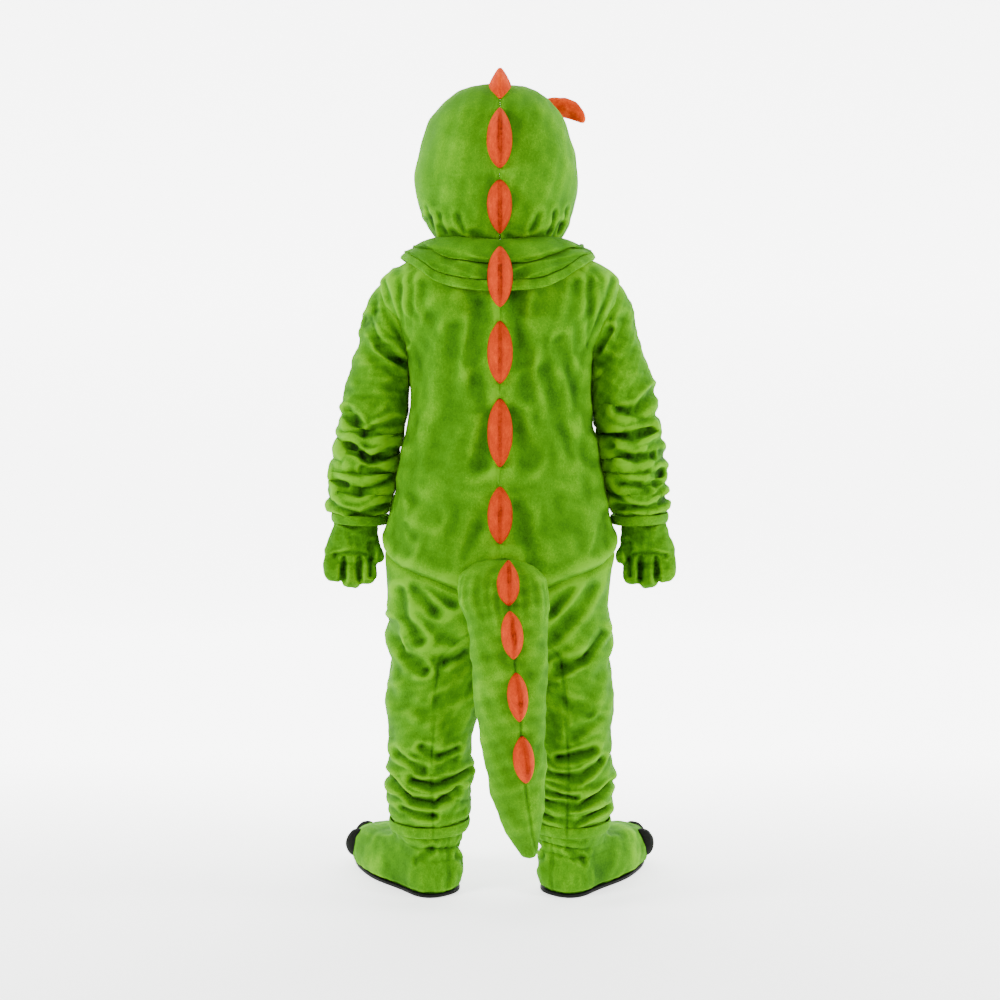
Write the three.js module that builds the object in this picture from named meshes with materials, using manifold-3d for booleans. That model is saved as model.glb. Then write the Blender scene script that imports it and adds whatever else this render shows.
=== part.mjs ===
// A green plush lizard costume, worn but empty: a hollow head with a draped neck cowl, a one-piece suit
// with sleeves and legs pushed up in folds, gloves, boot covers, a stuffed tail and a row of stuffed spikes.
// Millimetres, +Z up. The wearer faces -Y, so +X is the wearer's left. Heights below are from the floor,
// and the whole costume is then lowered so that the origin lies between the wearer's shoulders.
import * as THREE from "three";
import { mergeVertices } from "three/addons/utils/BufferGeometryUtils.js";
import Module from "manifold-3d";

const wasm = await Module();
wasm.setup();

// Driving dimensions
const shoulderHeight = 1400; // floor to the base of the neck
const cloth = 3; // plush with its pile
const seam = 0.3; // gap between two pieces that are sewn together
const perch = 0.4; // gap under a piece that is sewn on top of another
const headWall = 8; // plush on the foam that keeps the head round
const headLean = 0.044; // share by which the head is fuller on the wearer's left of its seam
const cowlCentre = 4;
const cuffBand = 22; // turned hem of a sleeve
const legBand = 26; // turned hem of a leg
const soleThickness = 9;
const zipWidth = 8;
const zipThickness = 2.2;
const toeTurn = 38; // degrees that each foot turns out

const plush = new THREE.MeshStandardMaterial({ color: 0x5d9b0c, roughness: 0.95, metalness: 0 });
const plushTrim = new THREE.MeshStandardMaterial({ color: 0x6aa818, roughness: 0.95, metalness: 0 });
const spikeCloth = new THREE.MeshStandardMaterial({ color: 0xdd5a1c, roughness: 0.9, metalness: 0 });
const blackFelt = new THREE.MeshStandardMaterial({ color: 0x17171c, roughness: 0.85, metalness: 0 });
const soleRubber = new THREE.MeshStandardMaterial({ color: 0x0d0d0d, roughness: 0.8, metalness: 0 });
const mesh = new THREE.MeshStandardMaterial({ color: 0x101210, roughness: 0.7, metalness: 0 });
const eyeVinyl = new THREE.MeshStandardMaterial({ color: 0x0b0b0d, roughness: 0.25, metalness: 0 });
const zipTape = new THREE.MeshStandardMaterial({ color: 0x3f7408, roughness: 0.7, metalness: 0 });

const costume = new THREE.Group();
costume.position.z = -shoulderHeight;

const radians = THREE.MathUtils.degToRad;
const clamp = THREE.MathUtils.clamp;
const mix = THREE.MathUtils.lerp;
const smooth = (t) => THREE.MathUtils.smoothstep(t, 0, 1);

function range(from, to, steps) {
  return Array.from({ length: steps + 1 }, (_, i) => mix(from, to, i / steps));
}

// The value of a column at a place along a table, on a smooth curve through the rows that never overshoots.
function along(rows, key, at, column) {
  const last = rows.length - 1;
  if (at <= rows[0][key]) return rows[0][column];
  if (at >= rows[last][key]) return rows[last][column];
  let i = 0;
  while (rows[i + 1][key] < at) i++;
  const slope = (k) => (rows[k + 1][column] - rows[k][column]) / (rows[k + 1][key] - rows[k][key]);
  const tangent = (k) => {
    if (k === 0) return slope(0);
    if (k === last) return slope(last - 1);
    const [before, after] = [slope(k - 1), slope(k)];
    return before * after <= 0 ? 0 : (2 * before * after) / (before + after);
  };
  const span = rows[i + 1][key] - rows[i][key];
  const t = (at - rows[i][key]) / span;
  const [t2, t3] = [t * t, t * t * t];
  return (
    rows[i][column] * (2 * t3 - 3 * t2 + 1) +
    tangent(i) * span * (t3 - 2 * t2 + t) +
    rows[i + 1][column] * (3 * t2 - 2 * t3) +
    tangent(i + 1) * span * (t3 - t2)
  );
}

// How far a surface is pushed in at a place. Each crease is a soft straight trough from one place to
// another, with a ridge on each side; places are degrees around the piece and millimetres along it.
function creaseDepth(creases, around, at, girth) {
  const turn = (a) => ((((a + 180) % 360) + 360) % 360) - 180;
  const perDegree = girth / 360;
  let sum = 0;
  for (const c of creases) {
    const run = turn(c.around1 - c.around0) * perDegree;
    const rise = c.at1 - c.at0;
    const u = turn(around - c.around0) * perDegree;
    const w = at - c.at0;
    const t = clamp((u * run + w * rise) / (run * run + rise * rise), 0, 1);
    const off = Math.hypot(u - t * run, w - t * rise) / c.width;
    sum += c.depth * (Math.exp(-off * off) - 0.4 * Math.exp(-((off - 1.8) ** 2)));
  }
  return sum;
}

// A closed geometry from points and triangles, with no flat-out repeated corners and its faces pointing out.
function closedGeometry(points, faces) {
  const keys = new Map();
  const ids = points.map((p) => {
    const key = [p.x, p.y, p.z].map((x) => Math.round(x * 500)).join();
    if (!keys.has(key)) keys.set(key, keys.size);
    return keys.get(key);
  });
  const corners = [];
  ids.forEach((id, i) => (corners[id] = points[i]));
  let kept = faces.map((f) => f.map((i) => ids[i])).filter(([a, b, c]) => a !== b && b !== c && c !== a);
  const volume = kept.reduce((v, [a, b, c]) => {
    return v + corners[a].dot(new THREE.Vector3().crossVectors(corners[b], corners[c]));
  }, 0);
  if (volume < 0) kept = kept.map(([a, b, c]) => [a, c, b]);
  const geometry = new THREE.BufferGeometry().setFromPoints(corners);
  geometry.setIndex(kept.flat());
  return geometry;
}

const quad = (a, b, c, d) => [
  [a, b, c],
  [a, c, d],
];

// The outward normal of a surface at a place, from steps of its two parameters.
function normalAt(surface, u, v, stepU, stepV) {
  const du = surface(u + stepU, v).sub(surface(u - stepU, v));
  const dv = surface(u, v + stepV).sub(surface(u, v - stepV));
  const normal = new THREE.Vector3().crossVectors(du, dv);
  return normal.lengthSq() < 1e-9 ? new THREE.Vector3(0, 0, 1) : normal.normalize();
}

// A cloth wall: a grid of outer points, one row for each place along the piece, and the points one wall
// inside them. A piece that goes all round has no side edges.
function wall(outer, inner, allRound) {
  const [rows, columns] = [outer.length, outer[0].length];
  const points = [...outer.flat(), ...inner.flat()];
  const out = (i, j) => i * columns + (j % columns);
  const inside = (i, j) => rows * columns + out(i, j);
  const faces = [];
  const spans = allRound ? columns : columns - 1;
  for (let j = 0; j < spans; j++) {
    for (let i = 0; i + 1 < rows; i++) {
      faces.push(...quad(out(i, j), out(i, j + 1), out(i + 1, j + 1), out(i + 1, j)));
      faces.push(...quad(inside(i, j), inside(i + 1, j), inside(i + 1, j + 1), inside(i, j + 1)));
    }
    faces.push(...quad(out(0, j), inside(0, j), inside(0, j + 1), out(0, j + 1)));
    const last = rows - 1;
    faces.push(...quad(out(last, j), out(last, j + 1), inside(last, j + 1), inside(last, j)));
  }
  if (!allRound) {
    const end = columns - 1;
    for (let i = 0; i + 1 < rows; i++) {
      faces.push(...quad(out(i, 0), out(i + 1, 0), inside(i + 1, 0), inside(i, 0)));
      faces.push(...quad(out(i, end), inside(i, end), inside(i + 1, end), out(i + 1, end)));
    }
  }
  return closedGeometry(points, faces);
}

// A filled solid through rings of points; its first and last rings are closed to their middles.
function filled(rings) {
  const columns = rings[0].length;
  const middle = (ring) => ring.reduce((sum, p) => sum.add(p), new THREE.Vector3()).divideScalar(columns);
  const points = [...rings.flat(), middle(rings[0]), middle(rings.at(-1))];
  const at = (i, j) => i * columns + (j % columns);
  const faces = [];
  for (let j = 0; j < columns; j++) {
    for (let i = 0; i + 1 < rings.length; i++)
      faces.push(...quad(at(i, j), at(i, j + 1), at(i + 1, j + 1), at(i + 1, j)));
    faces.push([points.length - 2, at(0, j + 1), at(0, j)]);
    faces.push([points.length - 1, at(rings.length - 1, j), at(rings.length - 1, j + 1)]);
  }
  return closedGeometry(points, faces);
}

// Geometry to and from a solid that can be cut and joined.
function solidOf(geometry) {
  const bare = new THREE.BufferGeometry().setAttribute("position", geometry.getAttribute("position"));
  bare.setIndex(geometry.index);
  const merged = mergeVertices(bare, 1e-3);
  const vertProperties = merged.attributes.position.array;
  return new wasm.Manifold(new wasm.Mesh({ numProp: 3, vertProperties, triVerts: merged.index.array }));
}

function geometryOf(solid) {
  const { vertProperties, triVerts } = solid.getMesh();
  const geometry = new THREE.BufferGeometry();
  geometry.setAttribute("position", new THREE.BufferAttribute(vertProperties, 3));
  return geometry.setIndex(new THREE.BufferAttribute(triVerts, 1));
}

function add(name, geometry, material) {
  const piece = new THREE.Mesh(geometry, material);
  piece.name = name;
  costume.add(piece);
}

// A point of a rounded section. Angle 0 is the wearer's left, 90 the back, 180 the right and 270 the front.
function sectionPoint({ middle, halfWidth, back, front, fullness }, angle, z) {
  const [c, s] = [Math.cos(radians(angle)), Math.sin(radians(angle))];
  const round = (x) => Math.sign(x) * Math.abs(x) ** (2 / fullness);
  return new THREE.Vector3(middle + halfWidth * round(c), (s > 0 ? back : front) * round(s), z);
}

function sectionAt(table, z, middle, fullness) {
  const [halfWidth, back, front] = ["halfWidth", "back", "front"].map((c) => along(table, "z", z, c));
  return { middle, halfWidth, back, front, fullness };
}

// A column of a table by angle, the same on the left and right and on the front and back.
const byQuarter = (rows, angle, column) => {
  const turned = ((angle % 180) + 180) % 180;
  return along(rows, "angle", turned > 90 ? 180 - turned : turned, column);
};

// Points of a surface, row by row, moved along its outward normal. A step of the surface gives the normal.
function grid(surface, arounds, ats, outwards, facing, stepAt = 2) {
  return ats.map((v) =>
    arounds.map((u) => {
      const normal = normalAt(surface, u, v, 0.5, stepAt).multiplyScalar(facing);
      return surface(u, v).addScaledVector(normal, outwards);
    }),
  );
}

// The solid inside a surface that goes all round, grown by an amount.
function inside(surface, arounds, ats, grown, facing, stepAt) {
  return filled(grid(surface, arounds, ats, grown, facing, stepAt));
}

// Torso
const torsoTable = [
  { z: 660, halfWidth: 236, back: 168, front: 142 },
  { z: 700, halfWidth: 240, back: 174, front: 146 },
  { z: 750, halfWidth: 252, back: 183, front: 154 },
  { z: 800, halfWidth: 260, back: 189, front: 160 },
  { z: 850, halfWidth: 253, back: 186, front: 161 },
  { z: 950, halfWidth: 232, back: 176, front: 160 },
  { z: 1044, halfWidth: 216, back: 171, front: 157 },
  { z: 1150, halfWidth: 203, back: 176, front: 158 },
  { z: 1220, halfWidth: 207, back: 182, front: 157 },
  { z: 1290, halfWidth: 240, back: 184, front: 153 },
  { z: 1340, halfWidth: 268, back: 180, front: 147 },
  { z: 1385, halfWidth: 266, back: 166, front: 136 },
  { z: 1412, halfWidth: 242.5, back: 153, front: 124 },
  { z: 1432, halfWidth: 202.5, back: 137, front: 110 },
  { z: 1452, halfWidth: 142, back: 108, front: 96 },
];
const torsoFullness = 2.4;
const seatSeam = [
  { angle: 0, z: 796 },
  { angle: 18, z: 778 },
  { angle: 42, z: 753 },
  { angle: 56, z: 740 },
  { angle: 72, z: 718 },
  { angle: 90, z: 700 },
];
const torsoTop = 1452;
const torsoCreases = [
  { around0: 39, at0: 1390, around1: 36, at1: 1315, depth: 6, width: 10 },
  { around0: 49, at0: 1402, around1: 46, at1: 1310, depth: 7, width: 11 },
  { around0: 55, at0: 1380, around1: 57, at1: 1262, depth: 5, width: 13 },
  { around0: 30, at0: 1235, around1: 42, at1: 1120, depth: 5, width: 16 },
  { around0: 66, at0: 1240, around1: 52, at1: 1030, depth: 5, width: 22 },
  { around0: 32, at0: 1080, around1: 40, at1: 905, depth: 6, width: 20 },
  { around0: 74, at0: 1130, around1: 64, at1: 880, depth: 4, width: 24 },
  { around0: 18, at0: 900, around1: 30, at1: 800, depth: 5, width: 16 },
  { around0: 52, at0: 870, around1: 60, at1: 770, depth: 4, width: 18 },
  { around0: 141, at0: 1390, around1: 144, at1: 1318, depth: 6, width: 10 },
  { around0: 131, at0: 1402, around1: 135, at1: 1305, depth: 7, width: 11 },
  { around0: 124, at0: 1375, around1: 121, at1: 1270, depth: 5, width: 13 },
  { around0: 149, at0: 1240, around1: 137, at1: 1100, depth: 5, width: 16 },
  { around0: 112, at0: 1250, around1: 127, at1: 1050, depth: 5, width: 22 },
  { around0: 147, at0: 1070, around1: 139, at1: 925, depth: 6, width: 20 },
  { around0: 107, at0: 1110, around1: 117, at1: 860, depth: 4, width: 24 },
  { around0: 161, at0: 890, around1: 151, at1: 805, depth: 5, width: 16 },
  { around0: 226, at0: 1385, around1: 222, at1: 1290, depth: 6, width: 13 },
  { around0: 316, at0: 1390, around1: 320, at1: 1280, depth: 6, width: 13 },
  { around0: 238, at0: 1210, around1: 226, at1: 960, depth: 5, width: 24 },
  { around0: 303, at0: 1180, around1: 315, at1: 930, depth: 5, width: 24 },
  { around0: 212, at0: 920, around1: 222, at1: 800, depth: 5, width: 18 },
  { around0: 331, at0: 900, around1: 318, at1: 790, depth: 5, width: 18 },
];
const torsoGirth = 1400;

function torsoPoint(around, z) {
  const p = sectionPoint(sectionAt(torsoTable, z, 0, torsoFullness), around, z);
  const flat = new THREE.Vector3(p.x / 250, p.y / 170, 0).normalize();
  return p.addScaledVector(flat, -creaseDepth(torsoCreases, around, z, torsoGirth));
}

// Share 0 is the seam at the seat and 1 the neck.
const torsoSurface = (around, share) =>
  torsoPoint(around, mix(byQuarter(seatSeam, around, "z"), torsoTop, share));
const torsoShares = [...range(0, 0.2, 3), ...range(0.3, 0.74, 4), ...range(0.8, 1, 5)];

// The angle at which a torso section has a given distance from its middle plane.
function angleNear(z, distance) {
  const { halfWidth } = sectionAt(torsoTable, z, 0, torsoFullness);
  return (Math.acos((distance / halfWidth) ** (torsoFullness / 2)) * 180) / Math.PI;
}

// A quarter of the torso, from its side seam to the middle, where it stops short of the middle plane.
function torsoPanel(side, face, short) {
  const outer = [];
  const innerRows = [];
  for (const share of torsoShares) {
    const z = mix(byQuarter(seatSeam, 90, "z"), torsoTop, share);
    const end = short > seam ? angleNear(z, short) : 90;
    const quarter = range(0, end, 7);
    const arounds = quarter.map((a) => (face === "back" ? a : -a)).map((a) => (side > 0 ? a : 180 - a));
    const row = grid(torsoSurface, arounds, [share], 0, 1, 0.004)[0];
    const inner = grid(torsoSurface, arounds, [share], -cloth, 1, 0.004)[0];
    inner[0].y = row[0].y;
    inner.at(-1).x = row.at(-1).x;
    const clockwise = side > 0 === (face === "front");
    outer.push(clockwise ? row.reverse() : row);
    innerRows.push(clockwise ? inner.reverse() : inner);
  }
  const shiftX = short > seam ? 0 : (side * seam) / 2;
  const shift = new THREE.Vector3(shiftX, ((face === "back" ? 1 : -1) * seam) / 2, 0);
  for (const p of [...outer.flat(), ...innerRows.flat()]) p.add(shift);
  return wall(outer, innerRows, false);
}

// Sleeves: a bent tube. Around 0 is the outer side, 90 the back, 180 the side at the body; "at" runs
// down it.
const sleevePath = [
  { at: 0, x: 182, z: 1338, across: 88, depth: 92 },
  { at: 47, x: 220, z: 1311, across: 82, depth: 92 },
  { at: 102, x: 247, z: 1263, across: 71, depth: 88 },
  { at: 168, x: 269, z: 1201, across: 62, depth: 82 },
  { at: 220, x: 279, z: 1150, across: 66, depth: 80 },
  { at: 270, x: 286, z: 1100, across: 69, depth: 79 },
  { at: 327, x: 293, z: 1044, across: 69, depth: 80 },
  { at: 382, x: 304, z: 990, across: 67, depth: 79 },
  { at: 442, x: 309, z: 930, across: 68, depth: 78 },
  { at: 488, x: 314, z: 884, across: 68, depth: 75 },
  { at: 502, x: 315, z: 870, across: 64, depth: 70 },
  { at: 524, x: 316, z: 848, across: 61, depth: 67 },
];
const sleeveEnd = 502;
const sleeveAts = [...range(0, 260, 7), ...range(278, 490, 13), sleeveEnd];
const leftSleeveCreases = [
  { around0: 20, at0: 95, around1: 130, at1: 150, depth: 8, width: 11 },
  { around0: 30, at0: 120, around1: 140, at1: 185, depth: 6, width: 11 },
  { around0: 300, at0: 130, around1: 235, at1: 175, depth: 6, width: 12 },
  { around0: 60, at0: 215, around1: 120, at1: 250, depth: 4, width: 12 },
  { around0: -20, at0: 283, around1: 100, at1: 300, depth: 9, width: 9 },
  { around0: 40, at0: 322, around1: 170, at1: 314, depth: 10, width: 9 },
  { around0: -70, at0: 334, around1: 70, at1: 350, depth: 11, width: 9 },
  { around0: 60, at0: 371, around1: 180, at1: 357, depth: 9, width: 8 },
  { around0: -90, at0: 377, around1: 50, at1: 387, depth: 11, width: 9 },
  { around0: 30, at0: 412, around1: 165, at1: 402, depth: 11, width: 9 },
  { around0: -60, at0: 424, around1: 60, at1: 434, depth: 10, width: 9 },
  { around0: 50, at0: 455, around1: 180, at1: 446, depth: 10, width: 9 },
  { around0: -110, at0: 462, around1: 40, at1: 474, depth: 9, width: 8 },
  { around0: 190, at0: 300, around1: 290, at1: 318, depth: 9, width: 10 },
  { around0: 200, at0: 352, around1: 280, at1: 344, depth: 9, width: 10 },
  { around0: 190, at0: 398, around1: 300, at1: 410, depth: 10, width: 10 },
  { around0: 200, at0: 446, around1: 285, at1: 438, depth: 9, width: 10 },
];
const rightSleeveCreases = leftSleeveCreases.map((c, i) => ({
  ...c,
  around0: c.around0 + 6 * Math.cos(2.1 * i),
  around1: c.around1 + 7 * Math.sin(1.7 * i),
  at0: c.at0 + 4 * Math.sin(1.3 * i),
  at1: c.at1 + 4 * Math.cos(1.9 * i),
}));
const sleeveGirth = 460;

function sleeveSurface(side, creases) {
  const axis = (at) => [along(sleevePath, "at", at, "x"), along(sleevePath, "at", at, "z")];
  return (around, at) => {
    const [x, z] = axis(at);
    const [x1, z1] = axis(at + 4);
    const [x0, z0] = axis(Math.max(at - 4, 0));
    const length = Math.hypot(x1 - x0, z1 - z0);
    const [outX, outZ] = [(z0 - z1) / length, (x1 - x0) / length];
    const push = creaseDepth(creases, around, at, sleeveGirth);
    const across = (along(sleevePath, "at", at, "across") - push) * Math.cos(radians(around));
    const y = (along(sleevePath, "at", at, "depth") - push) * Math.sin(radians(around));
    return new THREE.Vector3(side * (x + across * outX), y, z + across * outZ);
  };
}
const roundSleeve = range(0, 360, 13).slice(0, -1);

// Legs: around 0 is the outer side, 90 the back, 180 the side at the other leg. Share 1 is the seat seam.
const legTable = [
  { z: 142, middle: 162, halfWidth: 88, back: 88, front: 88 },
  { z: 170, middle: 162, halfWidth: 91, back: 92, front: 92 },
  { z: 196, middle: 162, halfWidth: 95, back: 99, front: 98 },
  { z: 232, middle: 163, halfWidth: 96, back: 102, front: 101 },
  { z: 262, middle: 162, halfWidth: 101, back: 106, front: 104 },
  { z: 322, middle: 160, halfWidth: 96, back: 105, front: 102 },
  { z: 376, middle: 157, halfWidth: 99, back: 107, front: 104 },
  { z: 448, middle: 151, halfWidth: 109, back: 113, front: 110 },
  { z: 530, middle: 140, halfWidth: 112, back: 121, front: 117 },
  { z: 592, middle: 135, halfWidth: 121, back: 132, front: 124 },
  { z: 650, middle: 129, halfWidth: 125, back: 146, front: 130 },
  { z: 700, middle: 127, halfWidth: 126, back: 158, front: 136 },
  { z: 796, middle: 127, halfWidth: 127, back: 160, front: 140 },
];
const legLow = 170;
const crotchDip = 36;
const legFullness = 2;
const leftLegCreases = [
  { around0: 38, at0: 720, around1: 80, at1: 610, depth: 7, width: 14 },
  { around0: 20, at0: 690, around1: 60, at1: 600, depth: 5, width: 13 },
  { around0: 5, at0: 610, around1: 95, at1: 545, depth: 7, width: 13 },
  { around0: 90, at0: 566, around1: 150, at1: 556, depth: 5, width: 12 },
  { around0: -8, at0: 545, around1: 40, at1: 520, depth: 5, width: 12 },
  { around0: 60, at0: 480, around1: 120, at1: 420, depth: 4, width: 18 },
  { around0: 55, at0: 338, around1: 130, at1: 330, depth: 8, width: 9 },
  { around0: -30, at0: 325, around1: 70, at1: 300, depth: 9, width: 9 },
  { around0: 30, at0: 268, around1: 165, at1: 280, depth: 12, width: 10 },
  { around0: -60, at0: 272, around1: 60, at1: 248, depth: 11, width: 10 },
  { around0: 10, at0: 228, around1: 120, at1: 236, depth: 12, width: 9 },
  { around0: 110, at0: 248, around1: 200, at1: 240, depth: 8, width: 9 },
  { around0: -10, at0: 204, around1: 150, at1: 196, depth: 9, width: 8 },
  { around0: 200, at0: 318, around1: 310, at1: 332, depth: 9, width: 11 },
  { around0: 210, at0: 282, around1: 330, at1: 268, depth: 11, width: 10 },
  { around0: 190, at0: 226, around1: 300, at1: 238, depth: 11, width: 10 },
  { around0: 220, at0: 206, around1: 340, at1: 200, depth: 8, width: 9 },
  { around0: 240, at0: 700, around1: 300, at1: 600, depth: 6, width: 16 },
];
const rightLegCreases = leftLegCreases.map((c, i) => ({
  ...c,
  around0: c.around0 + 7 * Math.sin(2.3 * i),
  around1: c.around1 + 6 * Math.cos(1.5 * i),
  at0: c.at0 + 5 * Math.cos(1.1 * i),
  at1: c.at1 + 5 * Math.sin(2.7 * i),
}));
const legGirth = 640;

// The seam that a leg shares with the seat on its outer half and with the other leg on its inner half.
function legTopPoint(around) {
  const turned = ((around + 90) % 360 + 360) % 360 - 90;
  if (turned <= 90) return torsoPoint(turned, byQuarter(seatSeam, turned, "z") - seam);
  const s = Math.sin(radians(turned));
  const edge = torsoPoint(s > 0 ? 90 : 270, byQuarter(seatSeam, 90, "z") - seam);
  const z = edge.z - crotchDip * Math.abs(Math.cos(radians(turned))) ** 0.8;
  return new THREE.Vector3(0, Math.abs(edge.y) * s, z);
}

function legSurface(side, creases) {
  return (around, share) => {
    const top = legTopPoint(around);
    const z = mix(legLow, top.z, share);
    const section = sectionAt(legTable, z, along(legTable, "z", z, "middle"), legFullness);
    const p = sectionPoint(section, around, z);
    const blend = smooth(clamp((share - 0.72) / 0.28, 0, 1));
    p.lerp(top, blend).setZ(z);
    const flat = new THREE.Vector3(p.x - section.middle, p.y, 0).normalize();
    p.addScaledVector(flat, -creaseDepth(creases, around, z, legGirth) * (1 - blend));
    p.x = Math.max(p.x, seam / 2);
    return new THREE.Vector3(side * p.x, p.y, z);
  };
}
const legShares = [...range(0, 0.33, 11), ...range(0.44, 0.92, 5), 1];
const roundLeg = range(0, 360, 16).slice(0, -1);

// Head: level sections of a flattened ball, fuller at the back, with a rounded snout at the front.
const headTable = [
  { z: 1466, halfWidth: 126, back: 122, front: 118 },
  { z: 1482, halfWidth: 141, back: 137, front: 132 },
  { z: 1510, halfWidth: 157, back: 154, front: 160 },
  { z: 1546, halfWidth: 169, back: 168, front: 190 },
  { z: 1582, halfWidth: 178, back: 177, front: 210 },
  { z: 1618, halfWidth: 180, back: 181, front: 214 },
  { z: 1654, halfWidth: 174, back: 179, front: 204 },
  { z: 1690, halfWidth: 165, back: 172, front: 188 },
  { z: 1736, halfWidth: 150, back: 155, front: 160 },
  { z: 1771, halfWidth: 124, back: 127, front: 130 },
  { z: 1790, halfWidth: 102, back: 104, front: 106 },
  { z: 1803, halfWidth: 76, back: 78, front: 78 },
  { z: 1811, halfWidth: 44, back: 44, front: 44 },
  { z: 1814, halfWidth: 0, back: 0, front: 0 },
];
const headCreases = [
  { around0: 22, at0: 1496, around1: 26, at1: 1536, depth: 5, width: 9 },
  { around0: 38, at0: 1490, around1: 40, at1: 1522, depth: 4, width: 8 },
  { around0: 60, at0: 1490, around1: 58, at1: 1515, depth: 4, width: 9 },
  { around0: 118, at0: 1490, around1: 121, at1: 1518, depth: 4, width: 9 },
  { around0: 141, at0: 1490, around1: 138, at1: 1526, depth: 5, width: 8 },
  { around0: 160, at0: 1496, around1: 156, at1: 1534, depth: 5, width: 9 },
  { around0: 215, at0: 1490, around1: 218, at1: 1520, depth: 4, width: 9 },
  { around0: 322, at0: 1490, around1: 319, at1: 1522, depth: 4, width: 9 },
];
const headGirth = 1150;
const headFullness = 2.08;

function headPoint(around, z) {
  const p = sectionPoint(sectionAt(headTable, z, 0, headFullness), around, z);
  p.x *= 1 + headLean * Math.sign(p.x);
  const flat = new THREE.Vector3(p.x, p.y, 0).normalize();
  return p.addScaledVector(flat, -creaseDepth(headCreases, around, z, headGirth));
}
const headZs = [1466, 1490, 1514, 1546, 1590, 1636, 1682, 1722, 1756, 1783, 1801, 1810, 1814];

const roundHead = range(-90, 270, 26).slice(0, -1);

// Half of the head, from the front seam round one side to the back seam.
function headHalf(side) {
  const arounds = range(-90, 90, 13).map((a) => (side > 0 ? a : 180 - a));
  const outer = grid(headPoint, arounds, headZs, 0, 1, 1);
  const inner = grid(headPoint, arounds, headZs, -headWall, 1, 1);
  outer[outer.length - 1].forEach((p) => p.set(0, 0, headZs.at(-1)));
  inner[inner.length - 1].forEach((p) => p.set(0, 0, headZs.at(-1) - headWall));
  for (const j of [0, arounds.length - 1]) inner.forEach((row) => (row[j].x = 0));
  for (const p of [...outer.flat(), ...inner.flat()]) p.x += (side * seam) / 2;
  return wall(outer, inner, false);
}

// Cowl: two skirts that hang from the neck of the head, the lower with a turned hem.
const cowlTopEdge = [
  { angle: 0, z: 1483 },
  { angle: 45, z: 1479 },
  { angle: 90, z: 1470 },
];
const cowlMiddleEdge = [
  { angle: 0, z: 1467 },
  { angle: 30, z: 1455 },
  { angle: 60, z: 1428 },
  { angle: 90, z: 1412 },
];
const cowlHemTop = [
  { angle: 0, z: 1454 },
  { angle: 20, z: 1445 },
  { angle: 41, z: 1422 },
  { angle: 54, z: 1402 },
  { angle: 69, z: 1387 },
  { angle: 90, z: 1378 },
];
const cowlLowEdge = [
  { angle: 0, z: 1438 },
  { angle: 20, z: 1428 },
  { angle: 41, z: 1404 },
  { angle: 54, z: 1382 },
  { angle: 69, z: 1364 },
  { angle: 90, z: 1355 },
];
const cowlMiddleRing = { middle: cowlCentre, halfWidth: 181, back: 184, front: 172, fullness: 2.1 };
const cowlTuckRing = { middle: cowlCentre, halfWidth: 174, back: 177, front: 165, fullness: 2.1 };
const cowlHemRing = { middle: cowlCentre, halfWidth: 204, back: 201, front: 184, fullness: 2.3 };
const cowlLowRing = { middle: cowlCentre, halfWidth: 213, back: 207, front: 190, fullness: 2.3 };
const cowlGathers = { count: 9, depth: 2, drift: 40 };

function skirt(topPoint, lowPoint, bulge) {
  return (around, share) => {
    const p = lowPoint(around).lerp(topPoint(around), share);
    const flat = new THREE.Vector3(p.x - cowlCentre, p.y, 0).normalize();
    const drift = cowlGathers.drift * Math.sin(radians(3 * around));
    const gather = cowlGathers.depth * Math.sin(radians(cowlGathers.count * around + drift));
    return p.addScaledVector(flat, (bulge + gather) * Math.sin(Math.PI * share));
  };
}
const ringPoint = (ring, edge) => (around) => sectionPoint(ring, around, byQuarter(edge, around, "z"));
const cowlTopPoint = (around) => {
  const z = byQuarter(cowlTopEdge, around, "z");
  const normal = normalAt(headPoint, around, z, 0.5, 1);
  return headPoint(around, z).addScaledVector(normal, perch);
};
const lowered = (point, fall) => (around) => point(around).add(new THREE.Vector3(0, 0, -fall));
const cowlTuckPoint = lowered(ringPoint(cowlTuckRing, cowlMiddleEdge), 3 * seam);
const upperCowl = skirt(cowlTopPoint, ringPoint(cowlMiddleRing, cowlMiddleEdge), 9);
const lowerCowl = skirt(cowlTuckPoint, ringPoint(cowlHemRing, cowlHemTop), 6);
const hemTop = lowered(ringPoint(cowlHemRing, cowlHemTop), 6 * seam);
const hemCowl = skirt(hemTop, ringPoint(cowlLowRing, cowlLowEdge), 1.5);
const roundCowl = range(0, 360, 22).slice(0, -1);

function tube(surface, arounds, ats, thickness, facing, stepAt) {
  const [outer, inner] = [0, -thickness].map((out) => grid(surface, arounds, ats, out, facing, stepAt));
  return wall(outer, inner, true);
}

// Boots: level sections in the foot's own frame, "front" towards the toes, turned out about the ankle.
const bootTable = [
  { z: 9, halfWidth: 58, back: 66, front: 272, flare: 0.28, fullness: 2.5 },
  { z: 20, halfWidth: 66, back: 73, front: 284, flare: 0.28, fullness: 2.5 },
  { z: 45, halfWidth: 69, back: 76, front: 287, flare: 0.28, fullness: 2.5 },
  { z: 72, halfWidth: 67, back: 74, front: 277, flare: 0.25, fullness: 2.5 },
  { z: 92, halfWidth: 65, back: 72, front: 250, flare: 0.2, fullness: 2.4 },
  { z: 106, halfWidth: 66, back: 72, front: 190, flare: 0.12, fullness: 2.3 },
  { z: 118, halfWidth: 71, back: 74, front: 124, flare: 0.05, fullness: 2.15 },
  { z: 132, halfWidth: 78, back: 78, front: 91, flare: 0, fullness: 2 },
  { z: 144, halfWidth: 82.8, back: 82.8, front: 82.8, flare: 0, fullness: 2 },
  { z: 180, halfWidth: 82.8, back: 82.8, front: 82.8, flare: 0, fullness: 2 },
];
const bootAnkle = { x: 162, y: 0 };
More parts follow.
